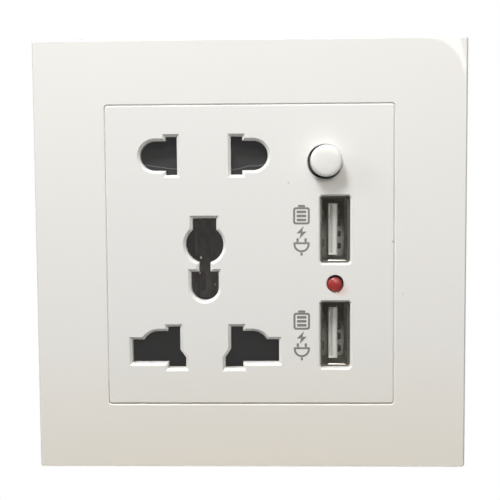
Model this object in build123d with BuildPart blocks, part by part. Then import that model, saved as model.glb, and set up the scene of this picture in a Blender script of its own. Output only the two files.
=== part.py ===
"""Universal wall socket with two charging ports, a push button and an indicator lamp.

The wall is the plane y = 0 and the socket faces -Y, with +Z up and +X to the viewer's right.
The origin lies on the wall, midway between the two box screws. A height is a distance out of the
wall towards the viewer, so what lies below height zero is inside the wall box.
"""

import os
from math import cos, pi, sin, sqrt

from build123d import *

# Driving dimensions in millimetres, angles in degrees

# Cover frame
PLATE = 86.0
FRAME_HEIGHT = 9.0
FRAME_FACE = 2.0
FRAME_WALL = 1.8
FRAME_DRAFT = 1.0
FRAME_CORNER = 0.4
FRAME_EDGE = 0.3
WINDOW_EDGE = 0.15
LIP_WALL = 1.2
LIP_DEPTH = 1.6
NIB_LENGTH = 10.0
NIB_REACH = 0.8
NIB_HEIGHT = 1.0
NIB_LIFT = 0.9
PRY_W = 8.0
PRY_HEIGHT = 1.2

# Socket panel, flush in the frame
PANEL_W = 57.2
PANEL_H = 59.8
PANEL_CORNER = 0.6
PANEL_EDGE = 0.3
PANEL_FACE = 2.2
PANEL_SKIRT = 1.2
SEAM = 0.06

# Carrier on the wall box
BOX_PITCH = 60.3
BOX_SLOT_R = 2.2
BOX_SLOT_LENGTH = 6.4
BOX_WEB = 1.45
BOX_HEAD_R = 4.15
BOX_HEAD_ROOM = 3.0
FLANGE = 2.0
CARRIER_GAP = 1.0
CARRIER_RIM = 3.2
CARRIER_RIM_WALL = 1.4
BEAD_LIFT = 2.0
BEAD_HEIGHT = 0.8
BEAD_REACH = 0.7
BEAD_LENGTH = 8.0
CARRIER_RIB_PITCH = 36.0
CARRIER_RIB_GAP = 0.6
CARRIER_RIB_DROP = 1.2

# Upper slots, one blade and one round pin each side, placed from the panel's left and top edges
SOCKET_INSET = 19.55
UPPER_SLOT_DROP = 10.05
BLADE_PITCH = 12.95
BLADE_W = 2.3
BLADE_H = 7.55
ROUND_PITCH = 19.5
ROUND_D = 5.85

# Earth slot, heights counted from the middle of its round part
EARTH_RISE = 1.825
EARTH_R = 3.75
EARTH_TOP_W = 4.75
EARTH_TOP = 5.25
EARTH_NECK_W = 2.25
EARTH_FOOT_W = 5.5
EARTH_FOOT_TOP = -5.43
EARTH_FOOT_END = -11.25

# Lower slots, right-hand outline counted from the socket axis and the middle of the flat pins
LOWER_SLOT_RISE = 10.8
SLANT_IN = 5.1
SLANT_OUT = 7.55
SLANT_TOP = 4.8
SHOULDER_X = 9.4
SHOULDER_Z = 0.5
SHOULDER_R = 3.4
FLAT_TOP = 2.2
FLAT_OUT = 14.75
FLAT_END = -2.52
FOOT_IN = 3.95
FOOT_END = -3.62
FOOT_HIGH = 0.2
FOOT_LOW = -1.45

SLOT_CHAMFER = 0.55
HOLE_CHAMFER = 0.15

# Ports, button and lamp, placed from the panel's edges and the button also from the housing's wall
PORT_INSET = 11.66
PORT_RISE = 13.9
PORT_W = 5.7
PORT_H = 13.1
PORT_FIT = 0.12
PORT_CHAMFER = 0.35
PORT_CORNER = 0.35
PORT_RECESS = 2.0
PORT_LENGTH = 13.6
SHELL_SHEET = 0.3
SHELL_CORNER = 0.5
SHELL_LEG_W = 1.2
SHELL_LEG_END = 0.9
SHELL_LEG_FIT = 0.25
FINGER_PITCH = 6.0
FINGER_W = 1.5
FINGER_T = 0.27
FINGER_SLOT_W = 2.2
FINGER_SLOT_START = 2.0
FINGER_SLOT_LENGTH = 6.2
FINGER_ROOT = 8.4
FINGER_NIP = 0.55
FINGER_NIP_DEPTH = 3.6
FINGER_TIP = 0.2
FINGER_TIP_DEPTH = 2.3
TONGUE_T = 1.8
TONGUE_H = 10.4
TONGUE_SHIFT = -0.29
TONGUE_RECESS = 1.1
TONGUE_EDGE = 0.3
TONGUE_BLOCK = 4.0
TONGUE_FIT = 0.05
PIN_PLACES = (-3.5, -1.0, 1.0, 3.5)
PIN_W = 1.0
PIN_T = 0.25
PIN_FIT = 0.2
PIN_PLAY = 0.05
PIN_RECESS = 0.7
PIN_NOSE = 0.75
PIN_NOSE_START = 1.3
PIN_NOSE_END = 2.0
PIN_NOSE_FOOT = 3.6
BUTTON_INSET = 8.9
BUTTON_SIT_X = 0.2
BUTTON_SIT_Z = 0.21
BUTTON_DROP = 11.15
BUTTON_R = 3.0
BUTTON_EDGE = 0.5
BUTTON_FLANGE = 1.0
BUTTON_FLANGE_REACH = 0.8
COLLAR_WALL = 0.6
BUTTON_GAP = 0.45
BUTTON_PROUD = 3.0
BUTTON_TRAVEL = 2.0
BUTTON_LIFT = 0.8
BUTTON_CROWN = 4.0
FLANGE_PLAY = 0.2
LAMP_SHIFT = -0.05
LAMP_SHARE = 0.537
LAMP_LEVEL = 0.422
LAMP_WEB = 0.05
LAMP_R = 1.5
LAMP_LENGTH = 5.4
LAMP_FLANGE = 0.4
LAMP_FLANGE_T = 1.0
LEAD_PITCH = 1.7
LEAD = 0.5
LAMP_GAP = 0.2
LAMP_PROUD = 0.7

# Module behind the panel
DECK = 1.4
COVER_FIT = 0.35
HOUSING_WALL = 1.5
HOUSING_CORNER = 1.5
HOUSING_EDGE = 0.5
CHAMBER_DEPTH = 14.0
POWER_DEPTH = 27.0
HOUSING_STEP = 0.7
HOOK_W = 8.0
HOOK_PLAY = 0.15
HOOK_REACH = 0.9
HOOK_LENGTH = 4.4
HOOK_ROOT = 1.0
WINDOW_FIT = 0.3
PARTITION = 1.2
PARTITION_SHARE = 0.2
SCREW_INSET = 3.1
COLUMN = 4.5
BOSS = 4.4
SHUTTER_LAP = 0.6
SHUTTER_RUN = 0.2
SHUTTER_LEAF = 0.6
SPRING_R = 0.95
SPRING_WIRE = 0.4
SPRING_SEAT = 0.25
SPRING_TURNS = 5
SPRING_CORNERS = 8
SPRING_FOLDS = 4
RIB = 1.2
UPPER_RAIL_DROP = 4.0
LOWER_RAIL_RISE = 5.0
LOWER_RAIL_SPARE = 7.0
UPPER_STOP_W = 17.9
LOWER_STOP_W = 12.95
UPPER_RIDGE = 1.2
LOWER_RIDGE = 1.0
BRIDGE_RISE = 0.45
BRIDGE_GAP = 0.35
BRIDGE_H = 2.6
TRAVEL_SPARE = 0.15
SEAT_GAP = 0.7

# Contacts and terminals
STRIP = 0.6
STRIP_W = 5.2
CONTACT_PITCH = 17.2
CLIP_LENGTH = 5.0
CLIP_NIP = 0.95
CLIP_NIP_HEIGHT = 2.2
CLIP_STRAIGHT = 3.0
CLIP_GAP = 0.9
EARTH_CLIP_RISE = 0.8
EARTH_CLIP_LENGTH = 7.0
EARTH_FOOT_CLIP_DROP = 8.2
EARTH_FOOT_CLIP_LENGTH = 4.0
SPINE_END = 1.0
TAIL_W = 3.0
LINK_W = 2.0
LINK_INSET = 1.9
LINK_REACH = 3.0
PASSAGE_FIT = 0.2
TERMINAL_RISE = 4.6
TERMINAL_W = 6.4
TERMINAL_L = 8.0
TERMINAL_D = 8.5
WIRE_R = 1.9
WIRE_DEPTH = 3.4
TERMINAL_EDGE = 0.6
TERMINAL_RIB_REACH = 1.5
TERMINAL_RIB_SPARE = 0.5

# Power board and what stands on it
BOARD = 1.6
BOARD_GAP = 0.4
POST = 4.2
POST_SHIFT = 0.785
POST_INSET = 1.8
TAIL_END = 0.8
PEG = 1.8
PEG_FIT = 0.1
PEG_HEAD = 3.0
PEG_HEAD_T = 0.8
SWITCH = 6.5
SWITCH_HEIGHT = 7.4
SWITCH_EDGE = 0.4
PLUNGER = 3.0
PLUNGER_FIT = 0.25
PLUNGER_SINK = 2.3
SPRING_SHUT = 1.5
CORE_RISE = 4.0
CORE_GAP = 1.2
CORE_LEG = 1.1
CORE_MID = 6.0
CORE_YOKE = 2.0
CORE_DEPTH = 12.0
COIL_GAP = 0.1
COIL_WALL = 2.7
COIL_PIN = 1.2
COIL_PIN_INSET = 0.8
CAPACITOR_GAP = 0.6
INPUT_CAPACITOR = 12.0
OUTPUT_CAPACITOR = 9.0
OUTPUT_CAPACITOR_R = 3.15
OUTPUT_CAPACITOR_RISE = 8.4
CHIP_W = 3.9
CHIP_H = 4.9
CHIP_T = 1.5
CHIP_SPAN = 6.0
CHIP_INSET = 1.4
CHIP_RISE = 0.5
CHIP_STAND = 0.2
CHIP_LEG_W = 0.45
CHIP_LEG_T = 0.5
CHIP_LEG_PITCH = 1.2

# Screws
HOUSING_SCREW_R = 1.15
HOUSING_HEAD_R = 2.1
HOUSING_HEAD = 1.6
HOUSING_SEAT = 6.2
CROSS_LENGTH = 2.5
CROSS_W = 0.65
CROSS_DEPTH = 0.8
TERMINAL_SCREW_R = 1.6
TERMINAL_HEAD_R = 2.8
TERMINAL_HEAD = 2.0
DRIVER_SLOT_W = 0.9
DRIVER_SLOT_DEPTH = 1.0
DRIVER_SLOT_TURN = 30.0
SCREW_FIT = 0.05
HEAD_FIT = 0.2
PILOT_SPARE = 0.6

# How far a cut runs past what it cuts
CUT_SPARE = 1.0

# Places on the panel that follow
SOCKET_X = -PANEL_W / 2 + SOCKET_INSET
UPPER_SLOT_Z = PANEL_H / 2 - UPPER_SLOT_DROP
LOWER_SLOT_Z = -PANEL_H / 2 + LOWER_SLOT_RISE
EARTH_Z = (UPPER_SLOT_Z + LOWER_SLOT_Z) / 2 + EARTH_RISE
PORT_X = PANEL_W / 2 - PORT_INSET
BUTTON_Z = PANEL_H / 2 - BUTTON_DROP
BUTTON_HOLE_R = BUTTON_R + BUTTON_GAP
BUTTON_ROOM = BUTTON_HOLE_R + BUTTON_SIT_Z + COLLAR_WALL + PORT_FIT
LAMP_HALF_ROOM = LAMP_R + LAMP_GAP + HOLE_CHAMFER + LAMP_WEB + PORT_CHAMFER + PORT_FIT
LOWER_PORT_Z = -PANEL_H / 2 + PORT_RISE
SPARE_Z = BUTTON_Z - LOWER_PORT_Z - 1.5 * PORT_H - BUTTON_ROOM - 2 * LAMP_HALF_ROOM
LAMP_SPARE = LAMP_SHARE * SPARE_Z
UPPER_PORT_Z = LOWER_PORT_Z + PORT_H + 2 * LAMP_HALF_ROOM + LAMP_SPARE
LAMP_X = PORT_X + LAMP_SHIFT
LAMP_Z = LOWER_PORT_Z + PORT_H / 2 + LAMP_HALF_ROOM + LAMP_LEVEL * LAMP_SPARE
PLUG_END = SOCKET_X + FLAT_OUT + SHUTTER_LAP
PARTITION_X = PLUG_END + PARTITION_SHARE * (PORT_X - PORT_W / 2 - PLUG_END)

# Heights and sizes that follow
FACE = FRAME_HEIGHT
PANEL_BACK = FACE - PANEL_FACE
RIM = FLANGE + SEAM
DECK_FRONT = RIM + DECK
SHUTTER_BACK = DECK_FRONT + SHUTTER_RUN
SHUTTER_FRONT = PANEL_BACK - SHUTTER_RUN
SPRING_MID = (DECK_FRONT + PANEL_BACK) / 2
WINDOW_W = PANEL_W + 2 * SEAM
WINDOW_H = PANEL_H + 2 * SEAM
FRAME_BACK = FACE - FRAME_FACE
CARRIER = PLATE - 2 * (FRAME_WALL + CARRIER_GAP)
HOUSING_W = min(BOX_PITCH - BOX_SLOT_LENGTH - 2 * BOX_WEB, PANEL_W - 2 * (PANEL_SKIRT + HOUSING_STEP))
HOUSING_H = PANEL_H - 2 * (PANEL_SKIRT + HOUSING_STEP)
CARRIER_WINDOW_W = HOUSING_W + 2 * WINDOW_FIT
CARRIER_WINDOW_H = HOUSING_H + 2 * WINDOW_FIT
COVER_W = PANEL_W - 2 * (PANEL_SKIRT + SEAM)
COVER_H = PANEL_H - 2 * (PANEL_SKIRT + SEAM)
SCREW_X = HOUSING_W / 2 - SCREW_INSET
SCREW_Z = HOUSING_H / 2 - SCREW_INSET
SCREWS = ((SCREW_X, SCREW_Z), (-SCREW_X, -SCREW_Z))
INNER_X = HOUSING_W / 2 - HOUSING_WALL
INNER_Z = HOUSING_H / 2 - HOUSING_WALL
BUTTON_X = INNER_X - BUTTON_INSET
HOLE_X = BUTTON_X - BUTTON_SIT_X
HOLE_Z = BUTTON_Z - BUTTON_SIT_Z
COLUMN_X = INNER_X - COLUMN / 2
COLUMN_Z = INNER_Z - COLUMN / 2
PLUG_LEFT = -INNER_X
PLUG_RIGHT = PARTITION_X - PARTITION / 2
POWER_LEFT = PARTITION_X + PARTITION / 2
FLOOR = -CHAMBER_DEPTH + HOUSING_WALL
POWER_FLOOR = -POWER_DEPTH + HOUSING_WALL
PORT_MOUTH = FACE - PORT_RECESS
BOARD_FRONT = PORT_MOUTH - PORT_LENGTH
BOARD_BACK = BOARD_FRONT - BOARD
BUTTON_TOP = FACE + BUTTON_PROUD
BUTTON_FOOT = BOARD_FRONT + SWITCH_HEIGHT + BUTTON_TRAVEL + BUTTON_LIFT
COLLAR_END = BUTTON_FOOT + BUTTON_FLANGE + FLANGE_PLAY
PLUNGER_TOP = BUTTON_TOP - BUTTON_CROWN
SWITCH_TOP = BOARD_FRONT + SWITCH_HEIGHT
PLUNGER_FOOT = SWITCH_TOP - PLUNGER_SINK
SWITCH_WELL = PLUNGER_FOOT - BUTTON_TRAVEL - SPRING_SHUT
HEAD_SEAT = RIM - HOUSING_SEAT
UPPER_TRAVEL = BLADE_H + TRAVEL_SPARE
LOWER_TRAVEL = SLANT_TOP - FOOT_END + TRAVEL_SPARE
UPPER_RIB = EARTH_Z + EARTH_TOP + SEAT_GAP
LOWER_RIB = EARTH_Z + EARTH_FOOT_END - SEAT_GAP
UPPER_BRIDGE = UPPER_SLOT_Z + BRIDGE_RISE
UPPER_END = UPPER_SLOT_Z + BLADE_H / 2 + SHUTTER_LAP
LOWER_BRIDGE = LOWER_SLOT_Z + FOOT_END - BRIDGE_GAP
LOWER_END = LOWER_BRIDGE - BRIDGE_H
UPPER_IN = (BLADE_PITCH - BLADE_W) / 2
UPPER_OUT = (ROUND_PITCH + ROUND_D) / 2
UPPER_HALF = UPPER_OUT + SHUTTER_LAP
LOWER_HALF = FLAT_OUT + SHUTTER_LAP
UPPER_RAIL_X = UPPER_HALF + SHUTTER_RUN + RIB / 2
LOWER_RAIL_X = LOWER_HALF + SHUTTER_RUN + RIB / 2
CONTACT_X = (SOCKET_X - CONTACT_PITCH / 2, SOCKET_X, SOCKET_X + CONTACT_PITCH / 2)
TERMINAL_Z = LOWER_SLOT_Z + TERMINAL_RISE
BORE_HEIGHT = -CHAMBER_DEPTH - WIRE_DEPTH
TERMINAL_BACK = -CHAMBER_DEPTH - TERMINAL_D
SUPPLY_X = (POWER_LEFT + INNER_X) / 2
POST_X = SUPPLY_X - POST_SHIFT
POST_Z = INNER_Z - POST_INSET
LINK_Z = INNER_Z - LINK_INSET
LINK_END = POWER_LEFT + LINK_REACH
TONGUE_X = PORT_X + TONGUE_SHIFT
PIN_X = TONGUE_X + TONGUE_T / 2
LAMP_FOOT = FACE + LAMP_PROUD - LAMP_LENGTH
CHIP_X = POWER_LEFT + CHIP_INSET + CHIP_SPAN / 2
CHIP_Z = BUTTON_Z + CHIP_RISE
CORE_Z = LOWER_PORT_Z + CORE_RISE
CORE_W = INNER_X - POWER_LEFT - 2 * CORE_GAP
CORE_WINDOW = (CORE_W - CORE_MID - 2 * CORE_LEG) / 2


def front(height):
    """Plane parallel to the wall at a height, seen as the viewer sees it."""
    return Plane.XZ.offset(height)


def front_edges(piece):
    """Edges of the last cut that lie on the viewer's side."""
    return piece.edges(Select.LAST).group_by(Axis.Y)[0]


# Outlines that the panel, the inner cover and the shutters share

with BuildSketch() as upper_slot:
    with Locations((BLADE_PITCH / 2, 0)):
        Rectangle(BLADE_W, BLADE_H)
    with Locations(((BLADE_PITCH - BLADE_W) / 2, 0)):
        Rectangle((ROUND_PITCH - BLADE_PITCH + BLADE_W) / 2, ROUND_D, align=(Align.MIN, Align.CENTER))
    with Locations((ROUND_PITCH / 2, 0)):
        Circle(ROUND_D / 2)

with BuildSketch() as earth_slot:
    Circle(EARTH_R)
    Rectangle(EARTH_TOP_W, EARTH_TOP, align=(Align.CENTER, Align.MIN))
    Rectangle(EARTH_NECK_W, -EARTH_FOOT_TOP + CUT_SPARE, align=(Align.CENTER, Align.MAX))
    with Locations((0, EARTH_FOOT_TOP)):
        foot_drop = EARTH_FOOT_TOP - EARTH_FOOT_END - EARTH_FOOT_W / 2
        Rectangle(EARTH_FOOT_W, foot_drop, align=(Align.CENTER, Align.MAX))
    with Locations((0, EARTH_FOOT_END + EARTH_FOOT_W / 2)):
        Circle(EARTH_FOOT_W / 2)

with BuildSketch() as lower_slot:
    with BuildLine():
        shoulder_end = SHOULDER_X + sqrt(SHOULDER_R**2 - (FLAT_TOP - SHOULDER_Z) ** 2)
        shoulder_top = SHOULDER_Z + SHOULDER_R
        rise = Polyline(
            (SHOULDER_X, shoulder_top),
            (SLANT_OUT, shoulder_top),
            (SLANT_OUT, SLANT_TOP),
            (SLANT_IN, SLANT_TOP),
            (SLANT_IN, FOOT_HIGH),
            (FOOT_IN, FOOT_LOW),
            (FOOT_IN, FOOT_END),
            (SLANT_OUT, FOOT_END),
            (SLANT_OUT, FLAT_END),
            (FLAT_OUT, FLAT_END),
            (FLAT_OUT, FLAT_TOP),
            (shoulder_end, FLAT_TOP),
        )
        RadiusArc(rise @ 1, rise @ 0, -SHOULDER_R)
    make_face()

with BuildSketch() as pin_slots:
    with Locations((SOCKET_X, UPPER_SLOT_Z)):
        add(upper_slot.sketch)
        add(mirror(upper_slot.sketch, about=Plane.YZ, mode=Mode.PRIVATE))
    with Locations((SOCKET_X, EARTH_Z)):
        add(earth_slot.sketch)
    with Locations((SOCKET_X, LOWER_SLOT_Z)):
        add(lower_slot.sketch)
        add(mirror(lower_slot.sketch, about=Plane.YZ, mode=Mode.PRIVATE))


# Cover frame that snaps over the carrier

with BuildPart() as face_frame:
    with BuildSketch(front(0)):
        Rectangle(PLATE, PLATE)
    extrude(amount=FRAME_HEIGHT, taper=FRAME_DRAFT)
    flat_edges = face_frame.faces().filter_by(Axis.Y).edges()
    chamfer(face_frame.edges() - flat_edges, FRAME_CORNER)
    chamfer(face_frame.faces().sort_by(Axis.Y)[0].edges(), FRAME_EDGE)
    with BuildSketch(front(0)):
        Rectangle(PLATE - 2 * FRAME_WALL, PLATE - 2 * FRAME_WALL)
    extrude(amount=FRAME_BACK, mode=Mode.SUBTRACT)
    # Lip around the window
    with BuildSketch(front(FRAME_BACK - LIP_DEPTH)):
        Rectangle(WINDOW_W + 2 * LIP_WALL, WINDOW_H + 2 * LIP_WALL)
    extrude(amount=LIP_DEPTH)
    with BuildSketch(front(FACE)):
        RectangleRounded(WINDOW_W, WINDOW_H, PANEL_CORNER + SEAM)
    extrude(amount=-FRAME_FACE - LIP_DEPTH, mode=Mode.SUBTRACT)
    chamfer(front_edges(face_frame), WINDOW_EDGE)
    # Nibs that catch behind the beads of the carrier
    with BuildSketch(front(FLANGE + NIB_LIFT)):
        with PolarLocations(PLATE / 2 - FRAME_WALL - NIB_REACH / 2, 4):
            Rectangle(NIB_REACH, NIB_LENGTH)
    extrude(amount=NIB_HEIGHT)
    # Notch for a screwdriver in the lower edge
    with BuildSketch(front(0)):
        with Locations((0, -PLATE / 2)):
            Rectangle(PRY_W, 2 * FRAME_WALL + CUT_SPARE)
    extrude(amount=PRY_HEIGHT, mode=Mode.SUBTRACT)


# Carrier screwed to the wall box

with BuildPart() as mounting_carrier:
    with BuildSketch(front(0)):
        Rectangle(CARRIER, CARRIER)
        Rectangle(CARRIER_WINDOW_W, CARRIER_WINDOW_H, mode=Mode.SUBTRACT)
        with GridLocations(BOX_PITCH, 0, 2, 1):
            SlotOverall(BOX_SLOT_LENGTH, 2 * BOX_SLOT_R, mode=Mode.SUBTRACT)
    extrude(amount=FLANGE)
    with BuildSketch(front(FLANGE)):
        Rectangle(CARRIER, CARRIER)
        Rectangle(CARRIER - 2 * CARRIER_RIM_WALL, CARRIER - 2 * CARRIER_RIM_WALL, mode=Mode.SUBTRACT)
    extrude(amount=CARRIER_RIM)
    # Beads above the nibs of the cover frame
    with BuildSketch(front(FLANGE + BEAD_LIFT)):
        with PolarLocations((CARRIER + BEAD_REACH) / 2, 4):
            Rectangle(BEAD_REACH, BEAD_LENGTH)
    extrude(amount=BEAD_HEIGHT)
    # Ribs across the flange above and below the module
    with BuildSketch(front(FLANGE)):
        rib_low = PANEL_H / 2 + CARRIER_RIB_GAP
        rib_high = CARRIER / 2 - CARRIER_RIM_WALL / 2
        with GridLocations(CARRIER_RIB_PITCH, rib_low + rib_high, 2, 2):
            Rectangle(RIB, rib_high - rib_low)
    extrude(amount=CARRIER_RIM - CARRIER_RIB_DROP)


# Panel with the slots, on a skirt that seats on the carrier

with BuildPart() as socket_panel:
    with BuildSketch(front(FLANGE)):
        RectangleRounded(PANEL_W, PANEL_H, PANEL_CORNER)
    extrude(amount=FACE - FLANGE)
    chamfer(socket_panel.faces().sort_by(Axis.Y)[0].edges(), PANEL_EDGE)
    with BuildSketch(front(FLANGE)):
        Rectangle(PANEL_W - 2 * PANEL_SKIRT, PANEL_H - 2 * PANEL_SKIRT)
    extrude(amount=PANEL_BACK - FLANGE, mode=Mode.SUBTRACT)
    # Bosses for the housing screws, and the collar that guides the button
    with BuildSketch(front(RIM)):
        with Locations(*SCREWS):
            Rectangle(BOSS, BOSS)
    extrude(amount=PANEL_BACK - RIM)
    with BuildSketch(front(RIM)):
        with Locations(*SCREWS):
            Circle(HOUSING_SCREW_R + SCREW_FIT)
    extrude(amount=PANEL_BACK - RIM + PILOT_SPARE, mode=Mode.SUBTRACT)
    with BuildSketch(front(COLLAR_END)):
        with Locations((HOLE_X, HOLE_Z)):
            Rectangle(2 * (BUTTON_HOLE_R + COLLAR_WALL), 2 * (BUTTON_HOLE_R + COLLAR_WALL))
    extrude(amount=PANEL_BACK - COLLAR_END)
    # Room for the heads of the box screws
    with BuildSketch(front(FLANGE)):
        with GridLocations(BOX_PITCH, 0, 2, 1):
            Circle(BOX_HEAD_R)
    extrude(amount=BOX_HEAD_ROOM, mode=Mode.SUBTRACT)
    # Pin slots with a sloped edge
    with BuildSketch(front(FACE)):
        add(pin_slots.sketch)
    extrude(amount=-PANEL_FACE, mode=Mode.SUBTRACT)
    chamfer(front_edges(socket_panel), SLOT_CHAMFER)
    # Port cut-outs
    with BuildSketch(front(FACE)) as port_cut:
        with Locations((PORT_X, UPPER_PORT_Z), (PORT_X, LOWER_PORT_Z)):
            Rectangle(PORT_W + 2 * PORT_FIT, PORT_H + 2 * PORT_FIT)
        chamfer(port_cut.vertices(), PORT_CORNER)
    extrude(amount=-PANEL_FACE, mode=Mode.SUBTRACT)
    chamfer(front_edges(socket_panel), PORT_CHAMFER)
    # Button hole
    with BuildSketch(front(FACE)):
        with Locations((HOLE_X, HOLE_Z)):
            Circle(BUTTON_HOLE_R)
    extrude(amount=COLLAR_END - FACE, mode=Mode.SUBTRACT)
    chamfer(front_edges(socket_panel), HOLE_CHAMFER)
    # Lamp hole
    with BuildSketch(front(FACE)):
        with Locations((LAMP_X, LAMP_Z)):
            Circle(LAMP_R + LAMP_GAP)
    extrude(amount=-PANEL_FACE, mode=Mode.SUBTRACT)
    chamfer(front_edges(socket_panel), HOLE_CHAMFER)


# Inner cover that guides the shutters

with BuildPart() as inner_cover:
    with BuildSketch(front(RIM)):
        Rectangle(COVER_W, COVER_H)
        with Locations((SOCKET_X, UPPER_SLOT_Z)):
            with GridLocations(UPPER_IN + UPPER_OUT, 0, 2, 1):
                Rectangle(UPPER_OUT - UPPER_IN, BLADE_H, mode=Mode.SUBTRACT)
        with Locations((SOCKET_X, EARTH_Z + EARTH_TOP)):
            earth_drop = EARTH_TOP - EARTH_FOOT_END
            Rectangle(2 * EARTH_R, earth_drop, align=(Align.CENTER, Align.MAX), mode=Mode.SUBTRACT)
        with Locations((SOCKET_X, LOWER_SLOT_Z)):
            add(lower_slot.sketch, mode=Mode.SUBTRACT)
            add(mirror(lower_slot.sketch, about=Plane.YZ, mode=Mode.PRIVATE), mode=Mode.SUBTRACT)
        with Locations(*SCREWS):
            Rectangle(BOSS + 2 * SEAM, BOSS + 2 * SEAM, mode=Mode.SUBTRACT)
        with GridLocations(BOX_PITCH, 0, 2, 1):
            Circle(BOX_HEAD_R, mode=Mode.SUBTRACT)
        with Locations((PORT_X, UPPER_PORT_Z), (PORT_X, LOWER_PORT_Z)):
            Rectangle(PORT_W + 2 * COVER_FIT, PORT_H + 2 * COVER_FIT, mode=Mode.SUBTRACT)
        with Locations((HOLE_X, HOLE_Z)):
            Circle(BUTTON_R + BUTTON_FLANGE_REACH + BUTTON_GAP, mode=Mode.SUBTRACT)
        with Locations((LAMP_X, LAMP_Z)):
            Circle(LAMP_R + LAMP_FLANGE + LAMP_GAP, mode=Mode.SUBTRACT)
    extrude(amount=DECK)
    # Side rails, end stops and spring seats
    with BuildSketch(front(DECK_FRONT)):
        for side in (-1, 1):
            with Locations((SOCKET_X + side * UPPER_RAIL_X, UPPER_SLOT_Z - UPPER_RAIL_DROP)):
                Rectangle(RIB, UPPER_TRAVEL + UPPER_RAIL_DROP)
            with Locations((SOCKET_X + side * LOWER_RAIL_X, LOWER_SLOT_Z + LOWER_RAIL_RISE)):
                Rectangle(RIB, LOWER_TRAVEL + LOWER_RAIL_SPARE)
        with Locations((SOCKET_X, UPPER_END + SHUTTER_RUN + RIB / 2)):
            Rectangle(UPPER_STOP_W, RIB)
        with Locations((SOCKET_X, LOWER_END - SHUTTER_RUN - RIB / 2)):
            Rectangle(LOWER_STOP_W, RIB)
        with Locations((SOCKET_X, UPPER_RIB + RIB / 2), (SOCKET_X, LOWER_RIB - RIB / 2)):
            Rectangle(EARTH_FOOT_W, RIB)
    extrude(amount=PANEL_BACK - DECK_FRONT)


# Shutters, a leaf with a ramp behind each slot and a bridge between the leaves

with BuildPart() as upper_shutter:
    with BuildSketch(front(SHUTTER_BACK)):
        with Locations((SOCKET_X, UPPER_SLOT_Z)):
            add(upper_slot.sketch)
            add(mirror(upper_slot.sketch, about=Plane.YZ, mode=Mode.PRIVATE))
        offset(amount=SHUTTER_LAP, kind=Kind.INTERSECTION)
        with Locations((SOCKET_X, UPPER_BRIDGE)):
            Rectangle(BLADE_PITCH, UPPER_END - UPPER_BRIDGE, align=(Align.CENTER, Align.MIN))
    extrude(amount=SHUTTER_FRONT - SHUTTER_BACK)
    upper_ridge = UPPER_SLOT_Z - ROUND_D / 2 + UPPER_RIDGE
    for side in (-1, 1):
        with BuildSketch(Plane.YZ.offset(SOCKET_X + side * (UPPER_IN + UPPER_OUT) / 2)):
            with BuildLine():
                Polyline(
                    (-SHUTTER_FRONT, upper_ridge),
                    (-SHUTTER_BACK - SHUTTER_LEAF, UPPER_END),
                    (-SHUTTER_BACK - SHUTTER_LEAF, UPPER_END + CUT_SPARE),
                    (-SHUTTER_FRONT - CUT_SPARE, UPPER_END + CUT_SPARE),
                    (-SHUTTER_FRONT - CUT_SPARE, upper_ridge),
                    close=True,
                )
            make_face()
        extrude(amount=(UPPER_OUT - UPPER_IN) / 2 + SHUTTER_LAP, both=True, mode=Mode.SUBTRACT)

with BuildPart() as lower_shutter:
    with BuildSketch(front(SHUTTER_BACK)):
        with Locations((SOCKET_X, LOWER_SLOT_Z)):
            add(lower_slot.sketch)
            add(mirror(lower_slot.sketch, about=Plane.YZ, mode=Mode.PRIVATE))
        offset(amount=SHUTTER_LAP, kind=Kind.INTERSECTION)
        with Locations((SOCKET_X, LOWER_BRIDGE)):
            Rectangle(2 * SLANT_OUT, LOWER_BRIDGE - LOWER_END, align=(Align.CENTER, Align.MAX))
    extrude(amount=SHUTTER_FRONT - SHUTTER_BACK)
    lower_ridge = LOWER_SLOT_Z + SLANT_TOP - LOWER_RIDGE
    for side in (-1, 1):
        with BuildSketch(Plane.YZ.offset(SOCKET_X + side * (FLAT_OUT + FOOT_IN) / 2)):
            with BuildLine():
                Polyline(
                    (-SHUTTER_FRONT, lower_ridge),
                    (-SHUTTER_BACK - SHUTTER_LEAF, LOWER_BRIDGE),
                    (-SHUTTER_FRONT - CUT_SPARE, LOWER_BRIDGE),
                    (-SHUTTER_FRONT - CUT_SPARE, lower_ridge),
                    close=True,
                )
            make_face()
        extrude(amount=(FLAT_OUT - FOOT_IN) / 2 + SHUTTER_LAP, both=True, mode=Mode.SUBTRACT)


def coil_spring(low_z, high_z):
    """Coil of wire on the socket axis between two seats, bent in short straight runs."""
    rise = high_z - low_z - 2 * SPRING_SEAT
    corners = SPRING_TURNS * SPRING_CORNERS
    with BuildPart() as spring:
        with BuildLine() as path:
            Polyline(
                *[
                    (
                        SOCKET_X + SPRING_R * cos(2 * pi * step / SPRING_CORNERS),
                        -SPRING_MID + SPRING_R * sin(2 * pi * step / SPRING_CORNERS),
                        low_z + SPRING_SEAT + rise * step / corners,
                    )
                    for step in range(corners + 1)
                ]
            )
        with BuildSketch(Plane(origin=path.line @ 0, z_dir=path.line % 0)):
            Rectangle(SPRING_WIRE, SPRING_WIRE)
        sweep(path=path.line, transition=Transition.RIGHT)
    return spring


upper_shutter_spring = coil_spring(UPPER_RIB + RIB, UPPER_BRIDGE)
lower_shutter_spring = coil_spring(LOWER_BRIDGE, LOWER_RIB - RIB)

# Return spring of the switch, a strip folded to and fro under the plunger

with BuildPart() as switch_spring:
    with BuildSketch(Plane.XY.offset(BUTTON_Z - SPRING_R)):
        with BuildLine() as folds:
            fold_rise = (PLUNGER_FOOT - SWITCH_WELL - SPRING_WIRE) / SPRING_FOLDS
            Polyline(
                *[
                    (
                        BUTTON_X + SPRING_R * (-1) ** fold,
                        -SWITCH_WELL - SPRING_WIRE / 2 - fold * fold_rise,
                    )
                    for fold in range(SPRING_FOLDS + 1)
                ]
            )
        trace(folds.line, SPRING_WIRE)
    extrude(amount=2 * SPRING_R)


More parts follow.
